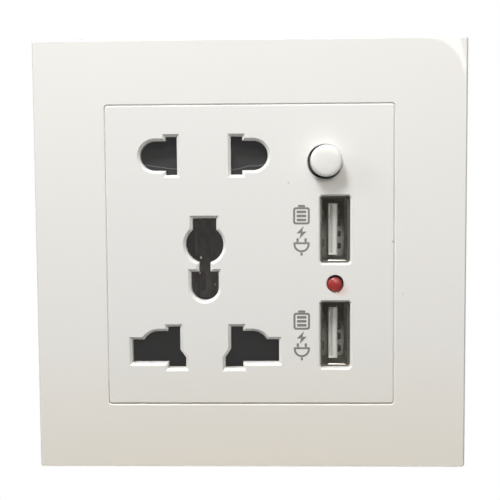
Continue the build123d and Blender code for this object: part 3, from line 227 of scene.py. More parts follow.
@dataclass
class EffectLibrary:
    """Node groups that several finishes share, built once each."""

    grain_detail: float = 2.0
    wave_share: float = 2.0
    streak_shine: float = 0.22
    speck_core: float = 0.3
    lens_middle: Place = (0.5, 0.5, 0.5)
    lens_plane: Place = (1.0, 0.0, 1.0)
    rim_band: Point = (0.78, 0.95)
    rim_side: Place = (0.6, 0.0, 0.8)
    rim_fade: float = 0.3
    sway_reach: float = 0.9 * MM

    def __post_init__(self) -> None:
        """Build every group."""
        self.groups: dict[Effect, bpy.types.NodeTree] = {}
        self.moulded_skin()
        self.drawn_metal()
        self.speck_or_painted_light()
        self.painted_lens_rim_shade()
        self.painted_ridge_line()

    def start(self, effect: Effect, inputs: dict[str, str], *outputs: str) -> tuple[Graph, dict, dict]:
        """Open a group with named sockets and keep it.

        Args:
            effect: Which effect.
            inputs: Input socket names with their types.
            outputs: Names of the outputs that are numbers, besides the colour.

        Returns:
            The graph, the group's input sockets by name and its result sockets by name.
        """
        tree = self.groups[effect] = bpy.data.node_groups.new(effect.value, "ShaderNodeTree")
        results = {"Colour": "Color", **dict.fromkeys(outputs, "Float")}
        for direction, sockets in (("INPUT", inputs), ("OUTPUT", results)):
            for name, kind in sockets.items():
                tree.interface.new_socket(name=name, in_out=direction, socket_type="NodeSocket" + kind)
        graph = Graph(tree)
        source = graph.add("NodeGroupInput")
        result = graph.add("NodeGroupOutput")
        return graph, source.outputs, result.inputs

    def moulded_skin(self) -> None:
        """Moulded plastic: faint mottle, drifting shine and a fine texture."""
        graph, given, result = self.start(
            Effect.MOULDED,
            {"Colour": "Color", "Mottle": "Float", "Roughness": "Float", "Drift": "Float", "Grain": "Float"},
            "Roughness",
            "Height",
        )
        place = graph.place()
        cloud = graph.swing(place, *CLOUD)
        graph.feed(result["Colour"], graph.vary(given["Colour"], cloud, given["Mottle"]))
        smear = graph.swing(place, *SMEAR)
        graph.feed(result["Roughness"], graph.math("MULTIPLY_ADD", smear, given["Drift"], given["Roughness"]))
        fine = graph.noise(place, given["Grain"], self.grain_detail)
        wave = graph.noise(place, *WAVE)
        graph.feed(result["Height"], graph.math("MULTIPLY_ADD", wave, self.wave_share, fine))

    def drawn_metal(self) -> None:
        """Rolled or drawn metal: fine lines one way, stains and a drifting shine."""
        graph, given, result = self.start(
            Effect.DRAWN,
            {"Colour": "Color", "Stain": "Float", "Roughness": "Float", "Lines": "Vector"},
            "Roughness",
            "Height",
        )
        place = graph.place()
        streaks = graph.noise(graph.vector("MULTIPLY", place, given["Lines"]), *STREAK)
        tarnish = graph.swing(place, *TARNISH)
        graph.feed(result["Colour"], graph.vary(given["Colour"], tarnish, given["Stain"]))
        change = graph.math("SUBTRACT", streaks, NOISE_MEAN)
        shine = graph.math("MULTIPLY_ADD", change, self.streak_shine, given["Roughness"])
        graph.feed(result["Roughness"], shine)
        graph.feed(result["Height"], streaks)

    def speck_or_painted_light(self) -> None:
        """One small mark, a real speck or painted light: tints a colour around a point."""
        graph, given, result = self.start(
            Effect.SPECK_OR_PAINTED_LIGHT,
            {"Colour": "Color", "Tint": "Color", "Centre": "Vector", "Radius": "Float", "Strength": "Float"},
        )
        reach = graph.vector("DISTANCE", graph.place(), given["Centre"])
        near = graph.ramp(graph.math("DIVIDE", reach, given["Radius"]), 1.0, self.speck_core)
        share = graph.math("MULTIPLY", near, given["Strength"])
        layers = {0: share, 6: given["Colour"], 7: given["Tint"]}
        marked = graph.add("Mix", layers, data_type="RGBA", blend_type="MULTIPLY")
        graph.feed(result["Colour"], marked.outputs[2])

    def painted_lens_rim_shade(self) -> None:
        """Painted shade: a dark crescent along the upper right rim of a round lens."""
        inputs = {"Colour": "Color", "Rim": "Float", "Shade": "Float"}
        graph, given, result = self.start(Effect.PAINTED_RIM_SHADE, inputs)
        offset = graph.vector("SUBTRACT", graph.place("Generated"), self.lens_middle)
        flat = graph.vector("MULTIPLY", offset, self.lens_plane)
        share = graph.math("DIVIDE", graph.vector("LENGTH", flat), given["Rim"])
        edge = graph.ramp(share, *self.rim_band)
        lean = graph.vector("DOT_PRODUCT", graph.vector("NORMALIZE", flat), self.rim_side)
        side = graph.ramp(lean, -self.rim_fade, self.rim_fade)
        dark = graph.math("MULTIPLY", graph.math("MULTIPLY", edge, side), given["Shade"])
        graph.feed(result["Colour"], graph.tint(given["Colour"], graph.math("SUBTRACT", 1.0, dark)))

    def painted_ridge_line(self) -> None:
        """Painted highlight: a light wavy line across a face where a ridge catches light; it climbs away from
        its middle.
        """
        sizes = dict.fromkeys(("Middle", "Level", "Slope", "Width", "Gain"), "Float")
        graph, given, result = self.start(Effect.PAINTED_RIDGE_LINE, {"Colour": "Color", **sizes})
        place = graph.place()
        axes = graph.add("SeparateXYZ", {0: place}).outputs
        aside = graph.math("ABSOLUTE", graph.math("SUBTRACT", axes["X"], given["Middle"]))
        climb = graph.math("MULTIPLY_ADD", aside, given["Slope"], given["Level"])
        crest = graph.math("MULTIPLY_ADD", graph.swing(place, *SWAY), self.sway_reach, climb)
        off = graph.math("ABSOLUTE", graph.math("SUBTRACT", axes["Z"], crest))
        near = graph.math("SUBTRACT", 1.0, graph.math("DIVIDE", off, given["Width"]))
        line = graph.math("MAXIMUM", near, 0.0)
        graph.feed(result["Colour"], graph.vary(given["Colour"], line, given["Gain"]))


EFFECTS = EffectLibrary()


# Finishes


@dataclass(frozen=True)
class Stain:
    """A mark on a surface that fades out at its radius, dark unless it has a tint: a real speck, or painted
    light such as a painted glow, glint or warmer tint.
    """

    centre: Place
    radius: float
    strength: float
    tint: Colour = (0.0, 0.0, 0.0)


@dataclass(frozen=True)
class PaintedRidgeHighlight:
    """A painted highlight: a light wavy line along a ridge where it catches light; it climbs away from the
    middle.
    """

    middle: float
    level: float
    slope: float
    width: float
    gain: float


class Finish:
    """Base of the finishes: a skin and the marks on it, around one Principled shader."""

    skin = Effect.MOULDED
    skin_fields = ("colour", "mottle", "roughness", "drift", "grain")
    name: str
    relief: float
    bump: float

    def shine(self) -> dict[str, float]:
        """Plain inputs of the shader."""
        raise NotImplementedError

    def coloured(self, graph: Graph, colour: Socket) -> Socket:
        """Lay what belongs over the skin's colour and return the result."""
        raise NotImplementedError

    @staticmethod
    def effect(graph: Graph, effect: Effect, values: dict) -> dict:
        """Place a shared effect with its inputs in a graph and return its outputs by name."""
        return graph.add("Group", values, node_tree=EFFECTS.groups[effect]).outputs

    def marked(self, graph: Graph, colour: Socket, marks_and_painted_light: tuple[Stain, ...]) -> Socket:
        """Lay small marks over a colour: real specks, and painted light such as painted glows, glints and
        warmer tints.

        Args:
            graph: Graph of the material.
            colour: The colour below them.
            marks_and_painted_light: The marks.

        Returns:
            The colour with the marks.
        """
        for stain in marks_and_painted_light:
            mark = inputs_from(stain, "tint", "centre", "radius", "strength")
            colour = self.effect(graph, Effect.SPECK_OR_PAINTED_LIGHT, {"Colour": colour, **mark})["Colour"]
        return colour

    def build(self) -> Material:
        """Make the material.

        Returns:
            The material.
        """
        material, graph = new_material(self.name)
        shader = graph.add("BsdfPrincipled", self.shine())
        graph.add("OutputMaterial", {"Surface": shader.outputs[0]})
        skin = self.effect(graph, self.skin, inputs_from(self, *self.skin_fields))
        colour = self.coloured(graph, skin["Colour"])
        height = {"Height": skin["Height"], "Strength": self.bump, "Distance": self.relief * MM}
        graph.feed(shader.inputs["Base Color"], colour)
        # The colour also feeds the emission: a painted glow where a finish has one, and the lamp's own glow.
        graph.feed(shader.inputs["Emission Color"], colour)
        graph.feed(shader.inputs["Roughness"], skin["Roughness"])
        graph.feed(shader.inputs["Normal"], graph.add("Bump", height).outputs[0])
        return material


@dataclass(frozen=True)
class Moulded(Finish):
    """Moulded plastic."""

    name: str
    colour: Colour
    roughness: float = 0.35
    mottle: float = 0.03
    drift: float = 0.08
    grain: float = 5200.0
    relief: float = 0.004
    bump: float = 0.5
    specular: float = 0.5
    # Strength of a painted glow of the colour, standing for stray light in a hollow.
    painted_glow: float = 0.0
    marks_and_painted_light: tuple[Stain, ...] = ()
    painted_ridge_highlight: PaintedRidgeHighlight | None = None

    def shine(self) -> dict[str, float]:
        """Plain inputs of the shader."""
        return {"Specular IOR Level": self.specular, "Emission Strength": self.painted_glow}

    def coloured(self, graph: Graph, colour: Socket) -> Socket:
        """Lay the marks, painted light among them, and the painted ridge highlight over a colour.

        Args:
            graph: Graph of the material.
            colour: The skin's colour.

        Returns:
            The colour with the marks.
        """
        colour = self.marked(graph, colour, self.marks_and_painted_light)
        if self.painted_ridge_highlight:
            line = inputs_from(self.painted_ridge_highlight, "middle", "level", "slope", "width", "gain")
            colour = self.effect(graph, Effect.PAINTED_RIDGE_LINE, {"Colour": colour, **line})["Colour"]
        return colour


@dataclass(frozen=True)
class Metal(Finish):
    """Rolled, drawn or plated metal."""

    skin = Effect.DRAWN
    skin_fields = ("colour", "stain", "roughness", "lines")
    name: str
    colour: Colour
    roughness: float = 0.3
    stain: float = 0.2
    lines: Place = (300.0, 4000.0, 4000.0)
    relief: float = 0.004
    bump: float = 0.4
    # Strength of a painted glow of the colour, standing for stray light in a hollow.
    painted_glow: float = 0.0
    glints: tuple[Stain, ...] = ()

    def shine(self) -> dict[str, float]:
        """Plain inputs of the shader."""
        return {"Metallic": 1.0, "Emission Strength": self.painted_glow}

    def coloured(self, graph: Graph, colour: Socket) -> Socket:
        """Lay the glints over a colour and return the result."""
        return self.marked(graph, colour, self.glints)


@dataclass(frozen=True)
class ClearLens(Finish):
    """Clear tinted resin of a lamp."""

    name: str
    colour: Colour
    glow: float
    clear: float
    roughness: float
    rim: float
    shade: float
    mottle: float = 0.5
    drift: float = 0.1
    grain: float = 2600.0
    relief: float = 0.006
    bump: float = 0.3
    bending: float = 1.5

    def shine(self) -> dict[str, float]:
        """Plain inputs of the shader."""
        return {"Transmission Weight": self.clear, "IOR": self.bending, "Emission Strength": self.glow}

    def coloured(self, graph: Graph, colour: Socket) -> Socket:
        """Darken a colour along the rim with painted shade and return the result."""
        ring = inputs_from(self, "rim", "shade")
        return self.effect(graph, Effect.PAINTED_RIM_SHADE, {"Colour": colour, **ring})["Colour"]


AnyFinish = Moulded | Metal | ClearLens

# Painted light: a warmer tint towards the bottom of the frame and panel, standing in for warmer light that
# falls there.
FOOT_PAINTED_WARM_LIGHT = Stain((0.0, -0.009, -0.3), 0.285, 1.0, (1.0, 0.72, 0.2))
FRAME_WHITE = Moulded(
    "frame_white",
    (0.855, 0.85, 0.835),
    roughness=0.02,
    mottle=0.02,
    drift=0.005,
    relief=0.00008,
    marks_and_painted_light=(FOOT_PAINTED_WARM_LIGHT, Stain((0.0304, -0.009, -0.0077), 0.00035, 0.12)),
)
PANEL_WHITE = Moulded(
    "panel_white",
    (0.83, 0.832, 0.82),
    roughness=0.3,
    mottle=0.02,
    marks_and_painted_light=(
        FOOT_PAINTED_WARM_LIGHT,
        Stain((0.0284, -0.009, 0.0027), 0.0003, 0.5),
        Stain((0.00773, -0.009, 0.01447), 0.0003, 0.25),
        # Painted light: a pink glow on the panel at the lamp's lower right, standing in for red light through
        # its lens.
        Stain((0.0181, -0.009, -0.0069), 0.0017, 0.45, (1.0, 0.62, 0.56)),
    ),
)
CARRIER_WHITE = Moulded("carrier_white", (0.74, 0.735, 0.71), roughness=0.45, relief=0.01)
BUTTON_WHITE = Moulded("button_white", (0.84, 0.845, 0.82), roughness=0.28)
TONGUE_WHITE = Moulded(
    "tongue_white",
    (0.62, 0.63, 0.6),
    roughness=0.4,
    marks_and_painted_light=(
        # Painted light: lighter patches on the base block behind each tongue, where light falls in through
        # the port's mouth.
        Stain((0.019, 0.0026, 0.0025), 0.0048, 1.0, (1.5, 1.5, 1.44)),
        Stain((0.019, 0.0026, -0.0185), 0.0048, 1.0, (1.5, 1.5, 1.44)),
    ),
)
# The dark mouldings glow faintly: a painted glow that stands for stray light in their hollows.
INNER_DARK = Moulded("inner_dark", (0.03, 0.03, 0.031), roughness=0.6, relief=0.012, specular=0.2, painted_glow=0.7)
SHUTTER_DARK = Moulded(
    "shutter_dark",
    (0.018, 0.018, 0.018),
    roughness=0.6,
    relief=0.01,
    specular=0.1,
    painted_glow=1.45,
    # Painted highlight: a light wavy line where the shutter's ridge catches light.
    painted_ridge_highlight=PaintedRidgeHighlight(middle=-0.00905, level=0.01667, slope=0.116, width=0.00012, gain=3.0),
)
HOUSING_DARK = Moulded(
    "housing_dark", (0.04, 0.04, 0.0395), roughness=0.5, relief=0.03, grain=2600.0, painted_glow=0.8
)
SWITCH_BLACK = Moulded("switch_black", (0.02, 0.02, 0.021), roughness=0.45)
CHIP_BLACK = Moulded("chip_black", (0.018, 0.018, 0.018), roughness=0.6, relief=0.01)
CAPACITOR_BLACK = Moulded("capacitor_black", (0.015, 0.016, 0.022), roughness=0.3)
COIL_YELLOW = Moulded("coil_yellow", (0.6, 0.4, 0.03), roughness=0.4, mottle=0.15)
BOARD_GREEN = Moulded("board_green", (0.02, 0.11, 0.04), roughness=0.4, mottle=0.25)
FERRITE_GREY = Moulded("ferrite_grey", (0.03, 0.03, 0.034), roughness=0.7, relief=0.02, mottle=0.2)
SPRING_STEEL = Metal("spring_steel", (0.42, 0.42, 0.43))
# Painted shade and light: the brass is darkened to grey for the shade deep in the earth slot, glows faintly,
# and carries three painted glints.
CONTACT_BRASS = Metal(
    "contact_brass",
    (0.152, 0.142, 0.134),
    roughness=0.5,
    stain=0.9,
    lines=(4000.0, 4000.0, 300.0),
    painted_glow=0.23,
    glints=(
        Stain((-0.01142, 0.0119, -0.00206), 0.0003, 1.0, (11.0, 8.5, 7.0)),
        Stain((-0.0107, -0.00034, -0.00419), 0.0003, 1.0, (13.0, 8.0, 6.0)),
        Stain((-0.00763, 0.00022, -0.00672), 0.00028, 1.0, (10.0, 9.0, 7.5)),
    ),
)
TERMINAL_BRASS = Metal("terminal_brass", (0.66, 0.45, 0.17), lines=(4000.0, 300.0, 4000.0))
SCREW_STEEL = Metal("screw_steel", (0.55, 0.55, 0.54), roughness=0.32)
# Painted shade and glow: the shell's steel is darkened to stand in for the shade inside the ports and glows
# faintly; its lip keeps bright steel.
PORT_STEEL = Metal(
    "port_steel", (0.17, 0.165, 0.14), roughness=0.5, lines=(4000.0, 500.0, 4000.0), painted_glow=0.21
)
LIP_STEEL = Metal("lip_steel", (0.6, 0.58, 0.53), roughness=0.35)
# The contacts are darkened well below bright tin so that they read dark, and carry a painted glow.
PORT_TIN = Metal("port_tin", (0.13, 0.125, 0.11), roughness=0.4, painted_glow=0.15)
LEAD_STEEL = Metal("lead_steel", (0.6, 0.6, 0.6))
LAMP_RED = ClearLens(
    "lamp_red", (0.5, 0.06, 0.055), glow=0.08, clear=0.4, roughness=0.3, rim=0.39, shade=0.92
)
LAMP_CUP = Metal("lamp_cup", (0.75, 0.7, 0.68), roughness=0.25)
SIGN_GREY = Moulded("sign_grey", (0.23, 0.23, 0.215), roughness=0.5, mottle=0.2)


# Mesh helpers


def link(name: str, data: bpy.types.ID) -> bpy.types.Object:
    """Put an object in the scene.

    Args:
        name: Its name.
        data: Its mesh, curve, lamp or camera.

    Returns:
        The object.
    """
    thing = bpy.data.objects.new(name, data)
    bpy.context.scene.collection.objects.link(thing)
    return thing


def baked(holder: bpy.types.Object) -> Mesh:
    """Take the final mesh of a holder and delete the holder.

    Args:
        holder: A curve, or a mesh with modifiers.

    Returns:
        The mesh.
    """
    bpy.context.view_layer.update()
    mesh = bpy.data.meshes.new_from_object(holder.evaluated_get(bpy.context.evaluated_depsgraph_get()))
    bpy.data.objects.remove(holder)
    return mesh


def softened(node: str, width: float, carve: Carving | None = None) -> Mesh:
    """Copy a node's solid with its flat faces joined and its sharp edges rounded.

    Args:
        node: Name of the node.
        width: Width of the rounding in metres.
        carve: Change made to the solid before the rounding.

    Returns:
        The rounded mesh.
    """
    solid = bmesh.new()
    solid.from_mesh(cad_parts[node].data)
    bmesh.ops.remove_doubles(solid, verts=solid.verts, dist=WELD)
    bmesh.ops.dissolve_limit(
        solid,
        angle_limit=radians(FLAT_ANGLE),
        use_dissolve_boundaries=False,
        verts=solid.verts,
        edges=solid.edges,
    )
    if carve:
        carve(solid)
    mesh = bpy.data.meshes.new(node + "_soft")
    solid.to_mesh(mesh)
    solid.free()
    mesh.shade_smooth()
    holder = link(node + "_holder", mesh)
    rounding = holder.modifiers.new("rounding", "BEVEL")
    rounding.width = width
    rounding.segments = EDGE_STEPS
    rounding.limit_method = "ANGLE"
    rounding.angle_limit = radians(SHARP_ANGLE)
    normals = holder.modifiers.new("normals", "WEIGHTED_NORMAL")
    normals.mode = "FACE_AREA"
    normals.weight = AREA_WEIGHT
    return baked(holder)


def lofted(name: str, rings: list[list[Vector | Place]], crease: float) -> Mesh:
    """Skin a row of closed rings; a ring of one point is a pole, and other ends are capped.

    Args:
        name: Name of the mesh.
        rings: Points of each ring, as many in each but the poles.
        crease: Angle in degrees from which an edge stays sharp.

    Returns:
        The closed mesh.
    """
    solid = bmesh.new()
    loops = [[solid.verts.new(point) for point in ring] for ring in rings]
    for near, far in zip(loops, loops[1:]):
        for k in range(max(len(near), len(far))):
            after = k + 1
            quad = [near[k % len(near)], near[after % len(near)], far[after % len(far)], far[k % len(far)]]
            solid.faces.new([vert for at, vert in enumerate(quad) if vert not in quad[:at]])
    for end in (loops[0], loops[-1]):
        if len(end) > 1:
            solid.faces.new(end)
    bmesh.ops.recalc_face_normals(solid, faces=solid.faces)
    mesh = bpy.data.meshes.new(name)
    solid.to_mesh(mesh)
    solid.free()
    mesh.shade_smooth()
    mesh.set_sharp_from_angle(angle=radians(crease))
    return mesh


def turned(profile: list[Point], centre: Vector, steps: int = TURN_STEPS) -> Mesh:
    """Turn a profile about an axis along -Y.

    Args:
        profile: Points (radius, height above the wall) from the front middle to the back middle.
        centre: Where the axis meets the wall.
        steps: Facets round the axis.

    Returns:
        The closed mesh.
    """
    rings = []
    for radius, height in profile:
        angles = [2 * pi * k / steps for k in range(1 if radius < POLE else steps)]
        rings.append([centre + Vector((radius * cos(a), -height, radius * sin(a))) for a in angles])
    return lofted("turned", rings, TURN_CREASE)


def arc(middle: Point, radius: float, start: float, end: float, steps: int) -> list[Point]:
    """Points along an arc from one angle in degrees to another, in so many steps."""
    angles = [radians(start + (end - start) * k / steps) for k in range(steps + 1)]
    return [(middle[0] + radius * cos(a), middle[1] + radius * sin(a)) for a in angles]


def flat_print(outlines: list[list[Point]], origin: Vector, thickness: float) -> Mesh:
    """Fill outlines as a thin layer of print that faces -Y; an outline inside another is a hole.

    Args:
        outlines: Closed outlines as (x, z) points.
        origin: Where (0, 0) lies on the surface.
        thickness: Thickness of the layer.

    Returns:
        The mesh.
    """
    curve = bpy.data.curves.new("print", "CURVE")
    curve.dimensions = "2D"
    curve.fill_mode = "BOTH"
    curve.extrude = thickness / 2
    for outline in outlines:
        spline = curve.splines.new("POLY")
        spline.points.add(len(outline) - 1)
        for point, (x, z) in zip(spline.points, outline):
            point.co = (x, z, 0.0, 1.0)
        spline.use_cyclic_u = True
    mesh = baked(link("print_holder", curve))
    middle = origin - Vector((0, thickness / 2, 0))
    mesh.transform(Matrix.Translation(middle) @ Matrix.Rotation(pi / 2, 4, "X"))
    return mesh


class Dresser:
    """Gives finishes to the socket's own nodes and to new pieces, each finish built once."""

    def __init__(self) -> None:
        """Start with no finish built."""
        self.built: dict[str, Material] = {}

    def material(self, finish: AnyFinish) -> Material:
        """Give the material of a finish, building it the first time.

        Args:
            finish: The finish.

        Returns:
            Its material.
        """
        if finish.name not in self.built:
            self.built[finish.name] = finish.build()
        return self.built[finish.name]

    def dress(self, finish: AnyFinish, *nodes: str) -> None:
        """Give nodes a finish.

        Args:
            finish: The finish.
            nodes: Names of the nodes.
        """
        for node in nodes:
            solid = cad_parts[node]
            solid.data.materials.clear()
            solid.data.materials.append(self.material(finish))
            log.info("node %s has finish %s", node, finish.name)

    def show(
        self, mesh: Mesh, name: str, finish: AnyFinish, slot: str, body: Body = Body.SOCKET
    ) -> bpy.types.Object:
        """Put a new piece in the scene.

        Args:
            mesh: Its mesh, in place.
            name: Name of the piece.
            finish: Its finish.
            slot: The record's material slot; not used.
            body: What it rides on.

        Returns:
            The new piece.
        """
        piece = link(name, mesh)
        piece.data.materials.clear()
        piece.data.materials.append(self.material(finish))
        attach(piece, body.value)
        log.info("piece %s rides on %s", name, body.value)
        return piece

    def soften(
        self,
        finish: AnyFinish,
        node: str,
        width: float,
        body: Body = Body.SOCKET,
        carve: Carving | None = None,
    ) -> bpy.types.Object:
        """Replace a node by its own form with rounded edges.

        Args:
            finish: Its finish.
            node: Name of the node.
            width: Width of the rounding in metres.
            body: What it rides on.
            carve: Change made to its form before the rounding.

        Returns:
            The new piece.
        """
        self.dress(finish, node)
        piece = self.show(softened(node, width, carve), node + "_rounded", finish, finish.name, body)
        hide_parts(node)
        return piece


# Sub-assemblies


@dataclass
class Assembly:
    """Base of the sub-assemblies, which take their finishes from one dresser."""

    dresser: Dresser

    def build(self) -> None:
        """Build and dress the pieces."""
        raise NotImplementedError


@dataclass
class Casing(Assembly):
    """Cover frame, panel, carrier, rear housing and inner cover."""

    frame_edge: float = 0.08 * MM
    panel_edge: float = 0.03 * MM
    carrier_edge: float = 0.12 * MM
    housing_edge: float = 0.2 * MM
    panel_spread: float = 1.0014
    panel_lift: float = 0.045 * MM

    def seat(self, solid: bmesh.types.BMesh) -> None:
        """Seat the panel snugly between the sides and against the top of the frame's window.

        Args:
            solid: The panel.
        """
        for vert in solid.verts:
            vert.co.x *= self.panel_spread
            vert.co.z += self.panel_lift

    def build(self) -> None:
        """Round and dress the mouldings."""
        self.dresser.soften(FRAME_WHITE, "face_frame", self.frame_edge)
        self.dresser.soften(PANEL_WHITE, "socket_panel", self.panel_edge, carve=self.seat)
        self.dresser.soften(CARRIER_WHITE, "mounting_carrier", self.carrier_edge)
        self.dresser.soften(HOUSING_DARK, "rear_housing", self.housing_edge)
        self.dresser.dress(INNER_DARK, "inner_cover")


@dataclass
class Contacts(Assembly):
    """Shutters, contact strips, terminals and screws behind the pin slots."""

    shutter_edge: float = 0.1 * MM
    terminal_edge: float = 0.1 * MM

    def build(self) -> None:
        """Round and dress the pieces."""
        self.dresser.soften(SHUTTER_DARK, "upper_shutter", self.shutter_edge, Body.UPPER_SHUTTER)
        self.dresser.soften(SHUTTER_DARK, "lower_shutter", self.shutter_edge, Body.LOWER_SHUTTER)
        self.dresser.dress(CONTACT_BRASS, "neutral_contact", "earth_contact", "live_contact")
        for wire in ("neutral", "earth", "live"):
            self.dresser.soften(TERMINAL_BRASS, wire + "_terminal", self.terminal_edge)
        self.dresser.dress(SCREW_STEEL, "terminal_screws", "housing_screws")


@dataclass
class ChargingPorts(Assembly):
    """Two ports, each a shell with a lip, a tongue and four contacts."""

    tongue_edge: float = 0.08 * MM
    rim_edge: float = 0.12 * MM
    shell_wall: float = 0.3 * MM
    lip_rise: float = 0.26 * MM
    lip_run: float = 0.9 * MM
    lip_inset: Point = (1.15 * MM, 0.35 * MM)
    lip_taper: float = 0.3
    lip_bend: Point = (180.0, 60.0)
    lip_steps: int = 7
    lip_crease: float = 35.0
    facet_width: float = 0.55 * MM
    facet_depth: float = 0.9 * MM
    facet_slack: float = 0.01 * MM

    def lip(self, level: Level) -> None:
        """Curl the lip inside the foot of a shell's mouth.

        Args:
            level: Which port.
        """
        low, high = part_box(level.node("port_shell"))
        seat = low.z + self.shell_wall
        left = low.x + self.shell_wall + self.lip_inset[0]
        right = high.x - self.shell_wall - self.lip_inset[1]
        nose = arc((self.lip_rise, 0.0), self.lip_rise, *self.lip_bend, self.lip_steps)
        section = [*nose, (self.lip_run, 0.0)]
        stations = (
            (left, self.lip_taper),
            (left + self.lip_rise, 1.0),
            (right - self.lip_rise, 1.0),
            (right, self.lip_taper),
        )
        rings = [[(x, low.y + run, seat + share * rise) for run, rise in section] for x, share in stations]
        name = level.node("port_lip")
        self.dresser.show(lofted(name, rings, self.lip_crease), name, LIP_STEEL, PORT_STEEL.name)

    def facet(self, solid: bmesh.types.BMesh) -> None:
        """Slope the left part of a tongue's front face.

        Args:
            solid: The tongue.
        """
        front = min(vert.co.y for vert in solid.verts)
        nose = [vert for vert in solid.verts if vert.co.y < front + self.facet_slack]
        left = min(vert.co.x for vert in nose)
        face = [plane for plane in solid.faces if all(vert in nose for vert in plane.verts)]
        edges = {edge for plane in face for edge in plane.edges}
        bmesh.ops.bisect_plane(
            solid,
            geom=[*nose, *edges, *face],
            plane_co=(left + self.facet_width, 0.0, 0.0),
            plane_no=(1.0, 0.0, 0.0),
        )
        for vert in nose:
            if vert.co.x < left + self.facet_slack:
                vert.co.y += self.facet_depth

    def build(self) -> None:
        """Round and dress the ports."""
        for level in Level:
            self.dresser.soften(PORT_STEEL, level.node("port_shell"), self.rim_edge)
            tongue = level.node("port_tongue")
            self.dresser.soften(TONGUE_WHITE, tongue, self.tongue_edge, carve=self.facet)
            self.dresser.dress(PORT_TIN, level.node("port_contacts"))
            self.lip(level)


@dataclass
class PushButton(Assembly):
    """Round cap with a soft rim and a flange, on the switch plunger."""

    rim: float = 0.75 * MM
    rim_bend: Point = (82.0, 0.0)
    rim_steps: int = 8
    crown: float = 0.12 * MM
    crown_shares: tuple[float, ...] = (0.2, 0.4, 0.6)
    flange: float = 1.0 * MM
    flange_reach: float = 0.8 * MM
    bore: float = 2.201 * MM
    bore_end: float = 4.0 * MM
    growth: float = 0.12 * MM

    def build(self) -> None:
        """Turn the cap and dress the switch."""
        low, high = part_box("button_cap")
        reach = (high.x - low.x) / 2
        radius = reach - self.flange_reach + self.growth
        top, foot = -low.y, -high.y
        shoulder = top - self.crown - self.rim
        profile = [
            (0.0, top),
            *((radius * share, top - self.crown * share**2) for share in self.crown_shares),
            *arc((radius - self.rim, shoulder), self.rim, *self.rim_bend, self.rim_steps),
            (radius, foot + self.flange),
            (reach, foot + self.flange),
            (reach, foot),
            (self.bore, foot),
            (self.bore, top - self.bore_end),
            (0.0, top - self.bore_end),
        ]
        mesh = turned(profile, Vector(((low.x + high.x) / 2, 0.0, (low.z + high.z) / 2)))
        cap = self.dresser.show(mesh, "button_crown", BUTTON_WHITE, BUTTON_WHITE.name, Body.BUTTON)
        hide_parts("button_cap")
        self.dresser.dress(BUTTON_WHITE, "button_cap")
        self.dresser.dress(SWITCH_BLACK, "switch_body", "switch_plunger")


@dataclass
class ReturnSprings(Assembly):
    """Springs of the shutters and the button."""

    wire: float = 0.4 * MM
    turns: int = 6
    closed_turns: float = 0.75
    turn_steps: int = 24
    wire_steps: int = 10
    wire_crease: float = 60.0
    fold_edge: float = 0.05 * MM
    slack: float = 0.04 * MM

    def coil(self, node: str) -> Mesh:
        """Wind a coil of round wire, its end turns closed, inside a node's box.

        Args:
            node: Name of the node.

        Returns:
            The mesh.
        """
        low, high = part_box(node)
        middle = (low + high) / 2
        radius = (high.x - low.x - self.wire) / 2
        open_turns = self.turns - 2 * self.closed_turns
        rise = (high.z - low.z - self.wire) / open_turns
        around = [2 * pi * k / self.wire_steps for k in range(self.wire_steps)]
        rings = []
        for step in range(self.turns * self.turn_steps + 1):
            turn = step / self.turn_steps
            wound = min(max(turn - self.closed_turns, 0.0), open_turns)
            out = Vector((cos(2 * pi * turn), sin(2 * pi * turn), 0.0))
            centre = Vector((middle.x, middle.y, low.z + self.wire / 2 + rise * wound)) + radius * out
            rings.append([centre + self.wire / 2 * (cos(a) * out + sin(a) * UP) for a in around])
        return lofted(node + "_coil", rings, self.wire_crease)

    def shorten(self, piece: bpy.types.Object, joint: str, length: float, axis: Vector, seat: Vector) -> None:
        """Give a spring a mesh of its own."""
        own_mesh(piece)

    def build(self) -> None:
        """Wind the shutters' coils and round the switch's folded strip."""
        for level in Level:
            node = level.node("shutter_spring")
            self.dresser.dress(SPRING_STEEL, node)
            low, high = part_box(node)
            name = level.node("shutter_coil")
            coil = self.dresser.show(self.coil(node), name, SPRING_STEEL, SPRING_STEEL.name)
            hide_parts(node)
            seat = low if level is Level.UPPER else high
            self.shorten(coil, level.node("shutter_slide"), high.z - low.z, UP, seat)
        low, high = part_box("switch_spring")
        strip = self.dresser.soften(SPRING_STEEL, "switch_spring", self.fold_edge)
        self.shorten(strip, "button_press", high.y - low.y, INWARD, high)


